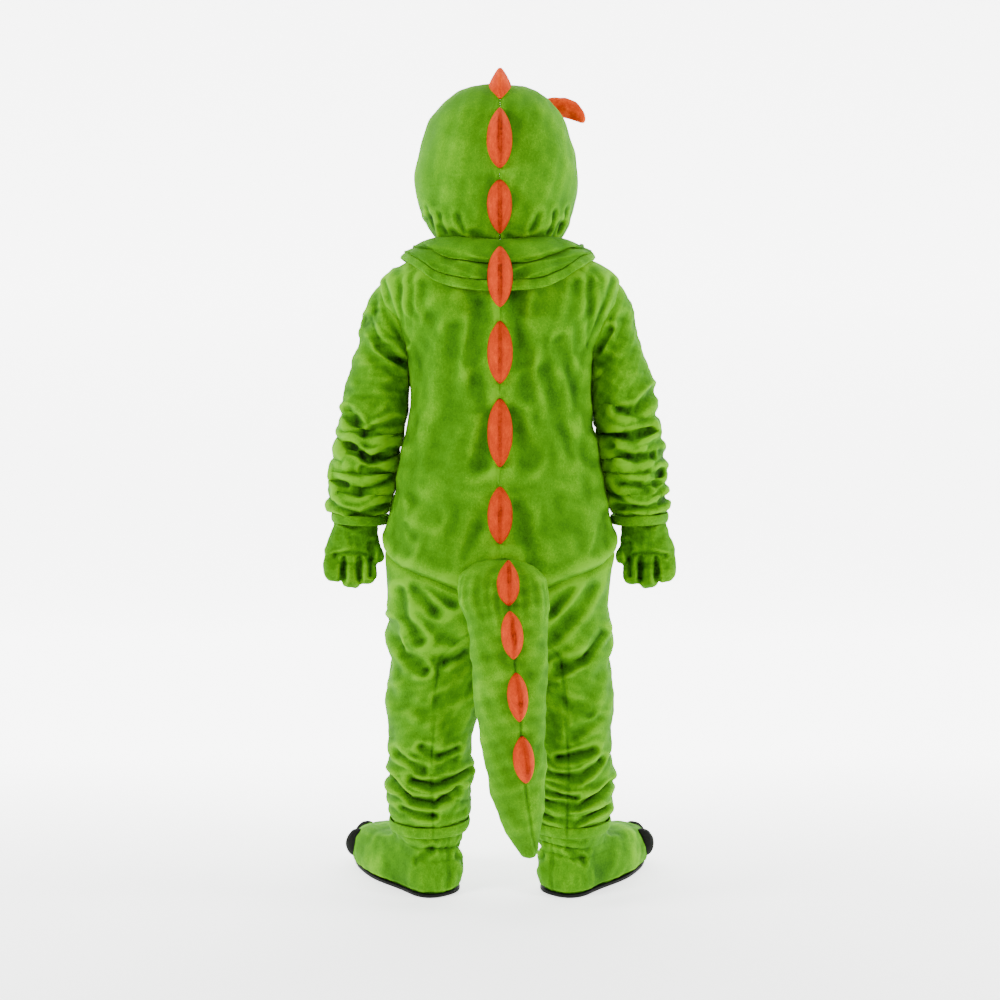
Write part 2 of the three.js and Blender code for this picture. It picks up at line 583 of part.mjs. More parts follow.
const bootCreases = [
  { around0: 120, at0: 112, around1: 160, at1: 84, depth: 5, width: 9 },
  { around0: 60, at0: 114, around1: 20, at1: 86, depth: 5, width: 9 },
  { around0: 110, at0: 88, around1: 140, at1: 60, depth: 4, width: 10 },
  { around0: 220, at0: 120, around1: 320, at1: 118, depth: 5, width: 8 },
];
const bootGirth = 640;

// Around 0 is the outer side of the foot, 90 its heel, 180 its inner side and 270 its toes.
function bootSurface(side) {
  const [c, s] = [Math.cos(radians(toeTurn)), Math.sin(radians(toeTurn))];
  return (around, z) => {
    const p = sectionPoint(sectionAt(bootTable, z, 0, along(bootTable, "z", z, "fullness")), around, z);
    const push = creaseDepth(bootCreases, around, z, bootGirth);
    p.x *= 1 + along(bootTable, "z", z, "flare") * smooth(-p.y / 150);
    p.addScaledVector(new THREE.Vector3(p.x, p.y, 0).normalize(), -push);
    return new THREE.Vector3(side * (bootAnkle.x + p.x * c - p.y * s), bootAnkle.y + p.x * s + p.y * c, z);
  };
}
const roundBoot = range(0, 360, 16).slice(0, -1);
const bootZs = [9, 18, 45, 72, 90, 104, 116, 130, 144, 180];

function soleGeometry(side) {
  const surface = bootSurface(side);
  const ring = (z, grown) => grid(surface, roundBoot, [12], grown, side)[0].map((p) => p.setZ(z));
  return filled([ring(0, -3), ring(2.5, 1), ring(soleThickness - seam, 1)]);
}

const padDefaults = { sunk: -0.8 };

// A stuffed pad on a surface. Its outline runs from one place to another and is widest between; a low
// "sharp" makes its back a ridge. It clears the surface by a little, or starts below it and is cut by its
// carriers.
function pad(surface, shape, carriers, facing, stepAt = 2) {
  const whole = { ...padDefaults, ...shape };
  const { around0, at0, around1, at1, halfWidth, height, sharp, blunt, girth, sunk } = whole;
  const [long, wide] = [6, 4];
  const perDegree = girth / 360;
  const [run, rise] = [(around1 - around0) * perDegree, at1 - at0];
  const length = Math.hypot(run, rise);
  const rowsOf = (lift) =>
    range(0, 1, long).map((t) => {
      const s = 2 * t - 1;
      const taper = (1 - Math.abs(s) ** 2.2) ** blunt;
      return range(-1, 1, wide).map((w) => {
        const off = w * halfWidth * taper;
        const u = mix(around0, around1, t) - (off * rise) / length / perDegree;
        const v = mix(at0, at1, t) + (off * run) / length;
        const crown = (1 - Math.abs(w) ** sharp) * (1 - s * s) ** 0.7;
        const start = sunk < 0 || lift === 0 ? -sunk : 0;
        const normal = normalAt(surface, u, v, 0.5, stepAt).multiplyScalar(facing);
        return surface(u, v).addScaledVector(normal, start + lift * height * crown);
      });
    });
  return cut(wall(rowsOf(1), rowsOf(0), false), carriers);
}

// A geometry with other solids taken away from it.
function cut(geometry, solids) {
  return geometryOf(largest(solids.reduce((left, solid) => left.subtract(solid), solidOf(geometry))));
}

// The one body of a solid, without slivers that a cut leaves.
function largest(solid) {
  return solid.decompose().sort((a, b) => b.volume() - a.volume())[0];
}

const claws = [
  { around: 238, halfWidth: 17 },
  { around: 270, halfWidth: 19 },
  { around: 302, halfWidth: 17 },
];
const clawPad = { at0: 22, at1: 92, height: 15, sharp: 1.8, blunt: 0.6, girth: 520, sunk: -1.3 };

// Gloves: a palm, three fingers and a thumb, hollow and open at the wrist. Tubes run down.
const palmTable = [
  { z: 893, x: 317, halfWidth: 44, depth: 41, y: 0 },
  { z: 848, x: 324, halfWidth: 50.2, depth: 44, y: 0 },
  { z: 815, x: 331, halfWidth: 54, depth: 42, y: 2 },
  { z: 785, x: 335, halfWidth: 54, depth: 38, y: 4 },
  { z: 765, x: 336, halfWidth: 47, depth: 31, y: 5 },
  { z: 753, x: 336, halfWidth: 30, depth: 18, y: 6 },
];
const fingers = [
  { x0: 358, z0: 800, x1: 371, z1: 760, x2: 366, y2: 36, z2: 722, radius: 24 },
  { x0: 335, z0: 795, x1: 336, z1: 752, x2: 332, y2: 40, z2: 708, radius: 24 },
  { x0: 312, z0: 798, x1: 308, z1: 756, x2: 304, y2: 34, z2: 714, radius: 22 },
  { x0: 306, z0: 822, x1: 290, z1: 792, x2: 285, y2: 12, z2: 756, radius: 18 },
];
const gloveColumns = 7;

function palmSolid(side, inset) {
  const rows = inset ? [{ ...palmTable[0], z: palmTable[0].z + 3 }, ...palmTable] : palmTable;
  const angles = range(0, 360, 10).slice(0, -1);
  const rings = rows.map((r, i) => {
    const z = i === rows.length - 1 ? r.z + inset : r.z;
    return angles.map((a) => {
      const [c, s] = [Math.cos(radians(a)), Math.sin(radians(a))];
      return new THREE.Vector3(side * (r.x + (r.halfWidth - inset) * c), r.y + (r.depth - inset) * s, z);
    });
  });
  return solidOf(filled(rings));
}

function fingerSolid(side, f, inset) {
  const start = new THREE.Vector3(side * f.x0, 2, f.z0);
  const bend = new THREE.Vector3(side * f.x1, 4, f.z1);
  const tip = new THREE.Vector3(side * f.x2, f.y2, f.z2);
  const path = new THREE.QuadraticBezierCurve3(start, bend, tip);
  const stations = [
    { t: 0, r: 0.85 },
    { t: 0.5, r: 1 },
    { t: 0.84, r: 0.88 },
    { t: 0.97, r: 0.5 },
  ];
  const rings = stations.map(({ t, r }) => {
    const centre = path.getPointAt(t);
    const ahead = path.getTangentAt(t);
    const e1 = new THREE.Vector3(0, 1, 0).cross(ahead).normalize();
    const e2 = ahead.clone().cross(e1);
    return range(0, 360, gloveColumns).slice(0, -1).map((a) => {
      const size = f.radius * r - inset;
      const ring = centre.clone().addScaledVector(e1, size * Math.cos(radians(a)));
      return ring.addScaledVector(e2, size * Math.sin(radians(a)));
    });
  });
  return solidOf(filled(rings));
}

function gloveSolid(side) {
  const joined = (inset) =>
    fingers.reduce((whole, f) => whole.add(fingerSolid(side, f, inset)), palmSolid(side, inset));
  return joined(0).subtract(joined(cloth));
}

// The seam between the palm and the back of a glove bends with the fingers.
function behindGlove(offset) {
  const line = [
    [950, 0],
    [820, 2],
    [770, 5],
    [735, 20],
    [650, 62],
  ];
  const outline = line.map(([z, y]) => [y + offset, z]);
  const cross = new wasm.CrossSection([[...outline, [400, 650], [400, 950]]]);
  const upright = cross.extrude(1200).rotate([90, 0, 0]).rotate([0, 0, 90]);
  return upright.translate([-600, 0, 0]);
}

// Tail: level sections from the seat down, a stuffed cone that bends to the wearer's right.
const tailTable = [
  { z: 139, x: -64, y: 200, halfWidth: 4, depth: 4 },
  { z: 146, x: -62, y: 202, halfWidth: 16, depth: 15 },
  { z: 180, x: -55, y: 206, halfWidth: 31, depth: 27 },
  { z: 226, x: -47, y: 212, halfWidth: 45, depth: 40 },
  { z: 341, x: -33, y: 222, halfWidth: 65, depth: 58 },
  { z: 429, x: -27, y: 226, halfWidth: 73, depth: 64 },
  { z: 537, x: -20, y: 226, halfWidth: 80, depth: 70 },
  { z: 664, x: -13, y: 218, halfWidth: 88, depth: 72 },
  { z: 715, x: -7, y: 208, halfWidth: 97, depth: 66 },
  { z: 748, x: -6, y: 198, halfWidth: 92, depth: 56 },
  { z: 774, x: -6, y: 188, halfWidth: 70, depth: 40 },
  { z: 788, x: -6, y: 181, halfWidth: 36, depth: 22 },
  { z: 792, x: -6, y: 178, halfWidth: 8, depth: 6 },
];

function tailSurface(around, z) {
  const [x, y, halfWidth, depth] = ["x", "y", "halfWidth", "depth"].map((c) => along(tailTable, "z", z, c));
  const [c, s] = [Math.cos(radians(around)), Math.sin(radians(around))];
  return new THREE.Vector3(x + halfWidth * c, y + depth * s, z);
}
const roundTail = range(0, 360, 18).slice(0, -1);
const tailZs = tailTable.map((row) => row.z);

// Spikes down the middle of the back: on the head, over the cowl, on the torso and on the tail.
const backSpike = { halfWidth: 27, height: 42, sharp: 1.15, blunt: 0.62 };
const crownSpike = { at0: 134, at1: 26, height: 37, halfWidth: 24 };
const headSpikes = [
  { at0: 1612, at1: 1740 },
  { at0: 1482, at1: 1590 },
];
const torsoSpikes = [
  { at0: 1163, at1: 1296 },
  { at0: 985, at1: 1133 },
  { at0: 822, at1: 945 },
];
const tailSpikes = [
  { at0: 704, at1: 786, halfWidth: 24, aside: -11 },
  { at0: 594, at1: 694, halfWidth: 23, aside: -11 },
  { at0: 461, at1: 567, halfWidth: 22, aside: -15 },
  { at0: 326, at1: 431, halfWidth: 22, aside: -19 },
];

// Places on the back of the torso and of the tail, by millimetres from the middle.
const torsoBack = (x, z) => torsoPoint(x < 0 ? 180 - angleNear(z, -x) : angleNear(z, x), z);
const tailBack = (x, z) => {
  const share = clamp(x / along(tailTable, "z", z, "halfWidth"), -1, 1);
  return tailSurface((Math.acos(share) * 180) / Math.PI, z);
};

// The head's height over a place of its plan, for the pieces that lie on its crown.
function crownPoint(fromMiddle, y) {
  let [low, high] = [headTable[5].z, headTable.at(-1).z];
  for (let i = 0; i < 30; i++) {
    const z = (low + high) / 2;
    const { halfWidth, back, front } = sectionAt(headTable, z, 0, headFullness);
    const half = halfWidth * (1 + headLean * Math.sign(fromMiddle));
    const parts = [fromMiddle / half, y / (y > 0 ? back : front)];
    const reach = parts.reduce((sum, part) => sum + Math.abs(part) ** headFullness, 0);
    if (reach < 1) low = z;
    else high = z;
  }
  return new THREE.Vector3(fromMiddle, y, low);
}

// The line that the spike over the cowl bridges, from the neck to below the cowl's hem.
const bridgeTable = [
  { z: 1316, y: 203 },
  { z: 1356, y: 211 },
  { z: 1385, y: 206 },
  { z: 1412, y: 201 },
  { z: 1445, y: 201 },
  { z: 1466, y: 188 },
];
const bridgePoint = (x, z) => {
  const y = along(bridgeTable, "z", z, "y");
  return new THREE.Vector3(x, y * Math.sqrt(1 - (x / 215) ** 2), z);
};
const bridgeSpike = { at0: 1323, at1: 1450 };

// Face, kept plain: two eyes and a mouth with a mesh to see through.
const eye = { at0: 1606, at1: 1676, halfWidth: 35, height: 22, sharp: 2, blunt: 0.5, girth: headGirth };
const mouth = {
  around0: 238,
  at0: 1553,
  around1: 302,
  at1: 1553,
  halfWidth: 16,
  height: 3,
  sharp: 4,
  blunt: 0.5,
  girth: headGirth,
};
const horn = {
  start: [-84, -78, 1762],
  bend: [-150, -86, 1808],
  tip: [-190, -80, 1748],
  radius: 24,
};

function hornSolid() {
  const knots = [horn.start, horn.bend, horn.tip].map((p) => new THREE.Vector3(...p));
  const path = new THREE.QuadraticBezierCurve3(...knots);
  const stations = [
    { t: 0, r: 1 },
    { t: 0.35, r: 0.98 },
    { t: 0.6, r: 0.9 },
    { t: 0.8, r: 0.72 },
    { t: 0.93, r: 0.45 },
    { t: 0.99, r: 0.16 },
  ];
  const rings = stations.map(({ t, r }) => {
    const centre = path.getPointAt(t);
    const ahead = path.getTangentAt(t);
    const e1 = new THREE.Vector3(0, 1, 0).cross(ahead).normalize();
    const e2 = ahead.clone().cross(e1);
    return range(0, 360, 12).slice(0, -1).map((a) => {
      const ring = centre.clone().addScaledVector(e1, horn.radius * r * Math.cos(radians(a)));
      return ring.addScaledVector(e2, horn.radius * r * Math.sin(radians(a)));
    });
  });
  return solidOf(filled(rings));
}

// Assembly
const torsoRound = range(0, 360, 28).slice(0, -1);
const torsoInner = [-0.0015, ...torsoShares.slice(1)];
const torsoGrown = solidOf(inside(torsoSurface, torsoRound, torsoInner, seam, 1, 0.004));
const torsoClear = solidOf(inside(torsoSurface, torsoRound, [-0.025, ...torsoShares], 2 * perch, 1, 0.004));
const headGrown = solidOf(inside(headPoint, roundHead, headZs, perch, 1, 1));
const legsGrown = [];

for (const [side, hand] of [
  [1, "left"],
  [-1, "right"],
]) {
  const sleeveCreases = side > 0 ? leftSleeveCreases : rightSleeveCreases;
  const sleeve = sleeveSurface(side, sleeveCreases);
  const sleeveGrown = solidOf(inside(sleeve, roundSleeve, sleeveAts, seam, -side));
  const panels = [
    ["back", 0],
    ["front", zipWidth / 2 + seam],
  ];
  for (const [face, short] of panels) {
    const panel = solidOf(torsoPanel(side, face, short)).subtract(sleeveGrown);
    add(`${face}_${hand}`, geometryOf(largest(panel)), plush);
  }
  const sleeveWall = solidOf(tube(sleeve, roundSleeve, sleeveAts, cloth, -side)).subtract(torsoGrown);
  add(`sleeve_${hand}`, geometryOf(largest(sleeveWall)), plush);
  add(`cuff_${hand}`, tube(sleeve, roundSleeve, [sleeveEnd + seam, 513, 524], cloth, -side), plushTrim);

  const leg = legSurface(side, side > 0 ? leftLegCreases : rightLegCreases);
  const legWall = solidOf(tube(leg, roundLeg, legShares, cloth, side, 0.004)).subtract(torsoGrown);
  add(`leg_${hand}`, geometryOf(largest(legWall)), plush);
  legsGrown.push(solidOf(inside(leg, roundLeg, legShares, 3 * perch, side, 0.004)));
  const band = (around, z) => {
    const section = sectionAt(legTable, z, along(legTable, "z", z, "middle"), legFullness);
    const p = sectionPoint(section, around, z);
    return new THREE.Vector3(side * p.x, p.y, z);
  };
  add(`leg_hem_${hand}`, tube(band, roundLeg, [legLow - legBand, legLow - seam], cloth, side), plushTrim);

  const glove = gloveSolid(side);
  add(`glove_palm_${hand}`, geometryOf(largest(glove.intersect(behindGlove(seam / 2)))), plush);
  add(`glove_back_${hand}`, geometryOf(largest(glove.subtract(behindGlove(-seam / 2)))), plush);

  const boot = bootSurface(side);
  add(`boot_${hand}`, tube(boot, roundBoot, bootZs, cloth, side), plush);
  add(`sole_${hand}`, soleGeometry(side), soleRubber);
  claws.forEach(({ around, halfWidth }, i) => {
    const claw = { ...clawPad, halfWidth, around0: around, around1: around };
    add(`claw_${hand}_${i + 1}`, pad(boot, claw, [], side), blackFelt);
  });

  add(`head_${hand}`, headHalf(side), plush);
  const eyeAround = side > 0 ? 312 : 228;
  add(`eye_${hand}`, pad(headPoint, { ...eye, around0: eyeAround, around1: eyeAround }, [], 1, 1), eyeVinyl);
}

const zipRows = torsoShares.map((share) => {
  const z = mix(byQuarter(seatSeam, 90, "z"), torsoTop, share);
  const end = angleNear(z, zipWidth / 2);
  const arounds = [end - 180, -90, -end];
  return [0, -zipThickness].map((out) => grid(torsoSurface, arounds, [share], out, 1, 0.004)[0]);
});
zipRows.forEach(([outer, inner]) => inner.forEach((p, i) => (p.x = outer[i].x)));
add("front_zip", wall(zipRows.map((r) => r[0]), zipRows.map((r) => r[1]), false), zipTape);

const cowls = [
  ["cowl_upper", upperCowl, range(0, 1, 4), plush],
  ["cowl_lower", lowerCowl, range(0, 1, 3), plush],
  ["cowl_hem", hemCowl, [0, 1], plushTrim],
];
for (const [name, surface, shares, material] of cowls)
  add(name, cut(tube(surface, roundCowl, shares, cloth, 1, 0.01), [headGrown]), material);
const cowlGrown = cowls.map(([, surface, shares]) => {
  return solidOf(inside(surface, roundCowl, [-0.08, ...shares, 1.08], perch, 1, 0.01));
});
add("mouth_mesh", pad(headPoint, mouth, [], 1, 1), mesh);

let tail = solidOf(filled(grid(tailSurface, roundTail, tailZs, 0, 1)));
for (const solid of [torsoClear, ...legsGrown]) tail = tail.subtract(solid);
add("tail", geometryOf(largest(tail)), plush);
add("horn", geometryOf(largest(hornSolid().subtract(headGrown))), spikeCloth);

const onSeam = { ...backSpike, around0: 90, around1: 90 };
const overPlan = { ...backSpike, around0: 0, around1: 0, girth: 360 };
const cutIn = { sunk: 4 };
const tailGrown = solidOf(inside(tailSurface, roundTail, tailZs, perch, 1));
const lowHeadSpike = { ...onSeam, ...headSpikes[1], ...cutIn, girth: headGirth };
const tailPad = (shape) => ({ ...overPlan, ...shape, around0: shape.aside, around1: shape.aside });
const spikes = [
  pad(crownPoint, { ...overPlan, ...crownSpike }, [], 1),
  pad(headPoint, { ...onSeam, ...headSpikes[0], girth: headGirth }, [], 1, 1),
  pad(headPoint, lowHeadSpike, [headGrown, ...cowlGrown], 1, 1),
  pad(bridgePoint, { ...overPlan, ...bridgeSpike, sunk: 12 }, cowlGrown, -1),
  ...torsoSpikes.map((s) => pad(torsoBack, { ...overPlan, ...s, ...cutIn }, [torsoClear], -1)),
  pad(tailBack, { ...tailPad(tailSpikes[0]), ...cutIn }, [tailGrown, torsoClear], -1),
  ...tailSpikes.slice(1).map((s) => pad(tailBack, tailPad(s), [], -1)),
];
spikes.forEach((geometry, i) => add(`spike_${String(i + 1).padStart(2, "0")}`, geometry, spikeCloth));

export default costume;
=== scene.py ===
import math
import bmesh
import bpy
import numpy as np
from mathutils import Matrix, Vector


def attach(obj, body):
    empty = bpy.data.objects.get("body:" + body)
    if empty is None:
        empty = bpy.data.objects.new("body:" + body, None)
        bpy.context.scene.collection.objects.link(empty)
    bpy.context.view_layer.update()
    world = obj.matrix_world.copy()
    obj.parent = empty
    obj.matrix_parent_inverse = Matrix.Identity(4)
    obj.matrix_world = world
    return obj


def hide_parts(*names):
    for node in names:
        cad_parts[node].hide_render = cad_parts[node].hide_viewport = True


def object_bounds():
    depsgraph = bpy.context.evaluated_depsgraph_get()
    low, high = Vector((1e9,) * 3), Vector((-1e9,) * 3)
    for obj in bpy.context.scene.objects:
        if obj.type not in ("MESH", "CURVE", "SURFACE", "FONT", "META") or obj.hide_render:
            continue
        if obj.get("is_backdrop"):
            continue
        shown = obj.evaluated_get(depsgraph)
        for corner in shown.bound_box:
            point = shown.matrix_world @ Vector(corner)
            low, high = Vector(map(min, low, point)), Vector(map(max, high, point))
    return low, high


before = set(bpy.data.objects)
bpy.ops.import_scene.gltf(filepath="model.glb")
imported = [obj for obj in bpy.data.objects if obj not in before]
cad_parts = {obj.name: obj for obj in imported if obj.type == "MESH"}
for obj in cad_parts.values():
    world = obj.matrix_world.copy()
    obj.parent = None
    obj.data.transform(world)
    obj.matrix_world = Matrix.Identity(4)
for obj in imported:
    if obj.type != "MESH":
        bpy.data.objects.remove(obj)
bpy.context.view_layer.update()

# Sizes here are millimetres from the floor, as a cutter measures a suit on its stand.
suit = {"shoulder": 1400, "cloth": 3, "headWall": 8, "headLean": 0.044, "cowlMiddle": 4, "toeTurn": 38, "seam": 0.3}

# Each side of the wearer: the sign of its x and its name.
hands = ((1, "left"), (-1, "right"))


# A table: each column by its name, from rows of numbers.
def table(names, *rows):
    return dict(zip(names.split(), np.array(rows, float).T))


# A column at places along a table: a smooth curve through the rows that never overshoots them.
def along(rows, key, at, column):
    x, y = rows[key], rows[column]
    at = np.clip(at, x[0], x[-1])
    slope = np.diff(y) / np.diff(x)
    both = slope[:-1] * slope[1:]
    inner = np.where(both > 0, 2 * both / np.where(both > 0, slope[:-1] + slope[1:], 1), 0)
    tangent = np.concatenate([slope[:1], inner, slope[-1:]])
    i = np.clip(np.searchsorted(x, at, side="right") - 1, 0, len(x) - 2)
    span = x[i + 1] - x[i]
    t = (at - x[i]) / span
    return (
        y[i] * (2 * t**3 - 3 * t**2 + 1)
        + tangent[i] * span * (t**3 - 2 * t**2 + t)
        + y[i + 1] * (3 * t**2 - 2 * t**3)
        + tangent[i + 1] * span * (t**3 - t**2)
    )


# A smooth step: t^2 (3 - 2 t), with t held between 0 and 1.
def smooth(t):
    t = np.clip(t, 0, 1)
    return t * t * (3 - 2 * t)


# The same angle between -180 and 180 degrees.
def turned(angle):
    return (angle + 180) % 360 - 180


# Angles all round in even steps.
def allRound(count):
    return np.arange(count) * 360 / count


# Points from their x, y and z.
def radial(*parts):
    return np.stack(np.broadcast_arrays(*parts), -1)


# How far creases push a surface in: along each straight run the push is a soft trough with a ridge each side,
# depth * (exp(-d^2) - 0.4 exp(-(d - 1.8)^2)) where d is the distance from the run over its width.
def creaseDepth(creases, around, at, girth):
    around, at = np.broadcast_arrays(np.asarray(around, float), np.asarray(at, float))
    total = np.zeros(around.shape)
    perDegree = girth / 360
    for a0, v0, a1, v1, depth, width in zip(*creases.values()):
        run, rise = turned(a1 - a0) * perDegree, v1 - v0
        u, w = turned(around - a0) * perDegree, at - v0
        t = np.clip((u * run + w * rise) / (run * run + rise * rise), 0, 1)
        d = np.hypot(u - t * run, w - t * rise) / width
        total += depth * (np.exp(-d * d) - 0.4 * np.exp(-((d - 1.8) ** 2)))
    return total


# How deep the folds seen from behind lie: along each run, in plan, a trough depth * exp(-d^2) with low ridges
# 0.4 depth * exp(-((d - 1.8)^2)) beside it, d being the distance from the run over its width. The deepest run counts,
# and a slow waver of the widths keeps them from looking drawn.
def foldDepth(folds, x, z, soft):
    trough, ridge = np.zeros(x.shape), np.zeros(x.shape)
    for x0, z0, x1, z1, depth, width in zip(*folds.values()):
        run, rise = x1 - x0, z1 - z0
        t = np.clip(((x - x0) * run + (z - z0) * rise) / (run * run + rise * rise), 0, 1)
        waver = 1 + 0.22 * np.sin(x / 17 + z / 23 + depth)
        d = np.hypot(x - x0 - t * run, z - z0 - t * rise) / (width * soft * waver)
        trough = np.maximum(trough, depth * np.exp(-d * d))
        ridge = np.maximum(ridge, 0.4 * depth * np.exp(-((d - 1.8) ** 2)))
    return trough - ridge * np.clip(1 - trough / 4, 0, 1)


# The folds of the back, and on the front those of the other side mirrored and a little lower.
def foldsRound(points, here, other, lower, deep, soft):
    x, y, z = points[..., 0], points[..., 1], points[..., 2]
    behind = smooth((y + 45) / 45)
    front = (1 - behind) * 0.85 * foldDepth(other, -x, z + lower, soft)
    return deep * (behind * foldDepth(here, x, z, soft) + front)


# Slow unevenness of soft cloth: a sum of a few waves over space, each in its own direction.
def unevenness(points, amount, length, seed):
    rng = np.random.default_rng(seed)
    total = np.zeros(points.shape[:-1])
    for i in range(9):
        direction = rng.normal(size=3)
        direction /= np.linalg.norm(direction)
        wave = length * rng.uniform(0.6, 1.7)
        total += np.sin(points @ direction * (2 * math.pi / wave) + rng.uniform(0, 6.3))
    return total * amount / 3


# Stacked rolls where a tube of cloth is pushed up: narrow valleys between round rolls, tilted and uneven.
def rolls(around, at, start, end, pitch, depth, seed):
    rng = np.random.default_rng(seed)
    a = np.radians(around)
    shift = sum(rng.uniform(0.1, 0.34) / (k * 0.7) * np.sin(k * a + rng.uniform(0, 6.3)) for k in (1, 2, 3))
    phase = (at - start) / pitch + shift + 0.25 * np.sin(at / 47 + rng.uniform(0, 6.3))
    window = smooth((at - start) / 34) * smooth((end - at) / 14)
    valley = 1 - np.abs(np.sin(math.pi * phase)) ** 0.6
    strength = 0.62 + 0.38 * np.sin(a + 1.9 * phase + rng.uniform(0, 6.3))
    return depth * window * valley * strength


# A point of a level section: x is middle + halfWidth |cos|^(2 / fullness) and y is back or front times
# |sin|^(2 / fullness), each with the sign of its cosine or sine.
def sectionPoint(middle, halfWidth, back, front, fullness, around, z):
    c, s = np.cos(np.radians(around)), np.sin(np.radians(around))
    x = middle + halfWidth * np.sign(c) * np.abs(c) ** (2 / fullness)
    y = np.where(s > 0, back, front) * np.sign(s) * np.abs(s) ** (2 / fullness)
    return radial(x, y, z)


# The same point with its sizes read from a table at its height.
def sectionOf(rows, around, z, middle, fullness):
    halfWidth, back, front = (along(rows, "z", z, c) for c in ("halfWidth", "back", "front"))
    return sectionPoint(middle, halfWidth, back, front, fullness, around, z)


# An edge's height by the angle round, alike in all four quarters: the angle is folded into 0 to 90.
def byQuarter(rows, around):
    a = np.asarray(around, float) % 180
    return along(rows, "angle", np.where(a > 90, 180 - a, a), "z")


# Points moved level towards the upright axis at x = middle: by push along the unit vector from the axis.
def pushed(points, middle, push):
    flat = points - np.array([middle, 0, 0])
    flat[..., 2] = 0
    flat /= np.maximum(np.linalg.norm(flat, axis=-1, keepdims=True), 1e-9)
    return points - flat * push[..., None]


# Normals of a grid of points from the cross product of its two directions.
def gridNormals(points, closed, facing):
    if closed:
        du = np.roll(points, -1, 1) - np.roll(points, 1, 1)
    else:
        du = np.gradient(points, axis=1)
    n = np.cross(du, np.gradient(points, axis=0)) * facing
    return n / np.maximum(np.linalg.norm(n, axis=-1, keepdims=True), 1e-9)


# How far each point of a grid is from one of its sides, measured along the grid's lines.
def fromSide(points, side):
    axis = 1 if side in ("first", "last") else 0
    steps = np.linalg.norm(np.diff(points, axis=axis), axis=-1)
    zero = np.zeros((points.shape[0], 1)) if axis else np.zeros((1, points.shape[1]))
    run = np.concatenate([zero, np.cumsum(steps, axis=axis)], axis=axis)
    if side in ("first", "bottom"):
        return run
    return (run[:, -1:] if axis else run[-1:, :]) - run


# Sewn sides are pulled in: the push is depth * exp(-(d / width)^2) from each side that is named.
def sewnSides(points, sides, closed, facing, depth, width):
    push = sum(depth * np.exp(-((fromSide(points, s) / width) ** 2)) for s in sides)
    return points - gridNormals(points, closed, facing) * push[..., None]


# A mesh from a grid of points, with a UV map of real sizes in metres.
def gridMesh(name, points, closed, facing):
    rows, cols = points.shape[:2]
    place = points.reshape(-1, 3) / 1000
    place[:, 2] -= suit["shoulder"] / 1000
    i, j = np.meshgrid(np.arange(rows - 1), np.arange(cols if closed else cols - 1), indexing="ij")
    i, j = i.ravel(), j.ravel()
    k = (j + 1) % cols
    quads = np.stack([i * cols + j, i * cols + k, (i + 1) * cols + k, (i + 1) * cols + j], 1)
    corners = np.stack([np.stack(c, 1) for c in ((i, j), (i, j + 1), (i + 1, j + 1), (i + 1, j))], 1)
    if facing < 0:
        quads, corners = quads[:, ::-1], corners[:, ::-1]
    u = fromSide(points, "first").mean(0)
    u = np.append(u, u[-1] + u[1]) if closed else u
    v = fromSide(points, "bottom").mean(1)
    uv = np.stack(np.meshgrid(u, v), -1) / 1000
    mesh = bpy.data.meshes.new(name)
    mesh.from_pydata(place.tolist(), [], quads.tolist())
    layer = mesh.uv_layers.new(name="cut")
    layer.data.foreach_set("uv", uv[corners[..., 0], corners[..., 1]].astype(np.float32).ravel())
    return mesh


hollowing = {"fineSteps": 9, "broadSteps": 36, "broadWorth": 0.14}


# How hollow each place of a mesh is, in millimetres: how far the smoothed mesh lies outside it along its normal,
# after a few steps of smoothing and, for a part of its worth, after many.
def hollowOf(mesh):
    steps, broad = hollowing["fineSteps"], hollowing["broadSteps"]
    count = len(mesh.vertices)
    place, normals = np.empty(count * 3), np.empty(count * 3)
    mesh.vertices.foreach_get("co", place)
    mesh.vertices.foreach_get("normal", normals)
    place, normals = place.reshape(-1, 3) * 1000, normals.reshape(-1, 3)
    ends = np.empty(len(mesh.edges) * 2, np.int32)
    mesh.edges.foreach_get("vertices", ends)
    a, b = ends.reshape(-1, 2).T
    met = np.maximum(np.bincount(a, minlength=count) + np.bincount(b, minlength=count), 1)
    soft, hollow = place, np.zeros(count)
    for step in range(1, steps + broad + 1):
        both = [np.bincount(a, soft[b, k], count) + np.bincount(b, soft[a, k], count) for k in range(3)]
        soft = (soft + np.stack(both, 1) / met[:, None]) / 2
        if step in (steps, steps + broad):
            hollow = hollow + ((soft - place) * normals).sum(1) * (1 if step == steps else hollowing["broadWorth"])
    return hollow


# A piece of the scene from its mesh: how hollow it lies measured, as the mask of painted shade in plush, finish laid
# on, and the node of the frame that it replaces.
def addPiece(name, mesh, finish, node, weld=True):
    if weld:
        bm = bmesh.new()
        bm.from_mesh(mesh)
        bmesh.ops.remove_doubles(bm, verts=bm.verts, dist=2e-5)
        bm.to_mesh(mesh)
        bm.free()
    mesh.polygons.foreach_set("use_smooth", np.ones(len(mesh.polygons), bool))
    # The hollow attribute is the mask by which the plush finishes paint shade into folds, creases and seams.
    hollow = mesh.attributes.new("hollow", "FLOAT", "POINT")
    hollow.data.foreach_set("value", hollowOf(mesh).astype(np.float32))
    mesh.materials.append(finish.material)
    piece = bpy.data.objects.new(name, mesh)
    bpy.context.scene.collection.objects.link(piece)
    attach(piece, "root")
    if node:
        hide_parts(node)
    return piece


# A sheet of cloth from a grid of its outer points: its wall is laid inside them.
def clothPiece(name, points, material, closed, facing, thick=None):
    piece = addPiece(name, gridMesh(name, points, closed, facing), material, name)
    wall = piece.modifiers.new("wall", "SOLIDIFY")
    wall.thickness = (thick or suit["cloth"]) / 1000
    wall.offset = -1
    wall.use_even_offset = False
    return piece


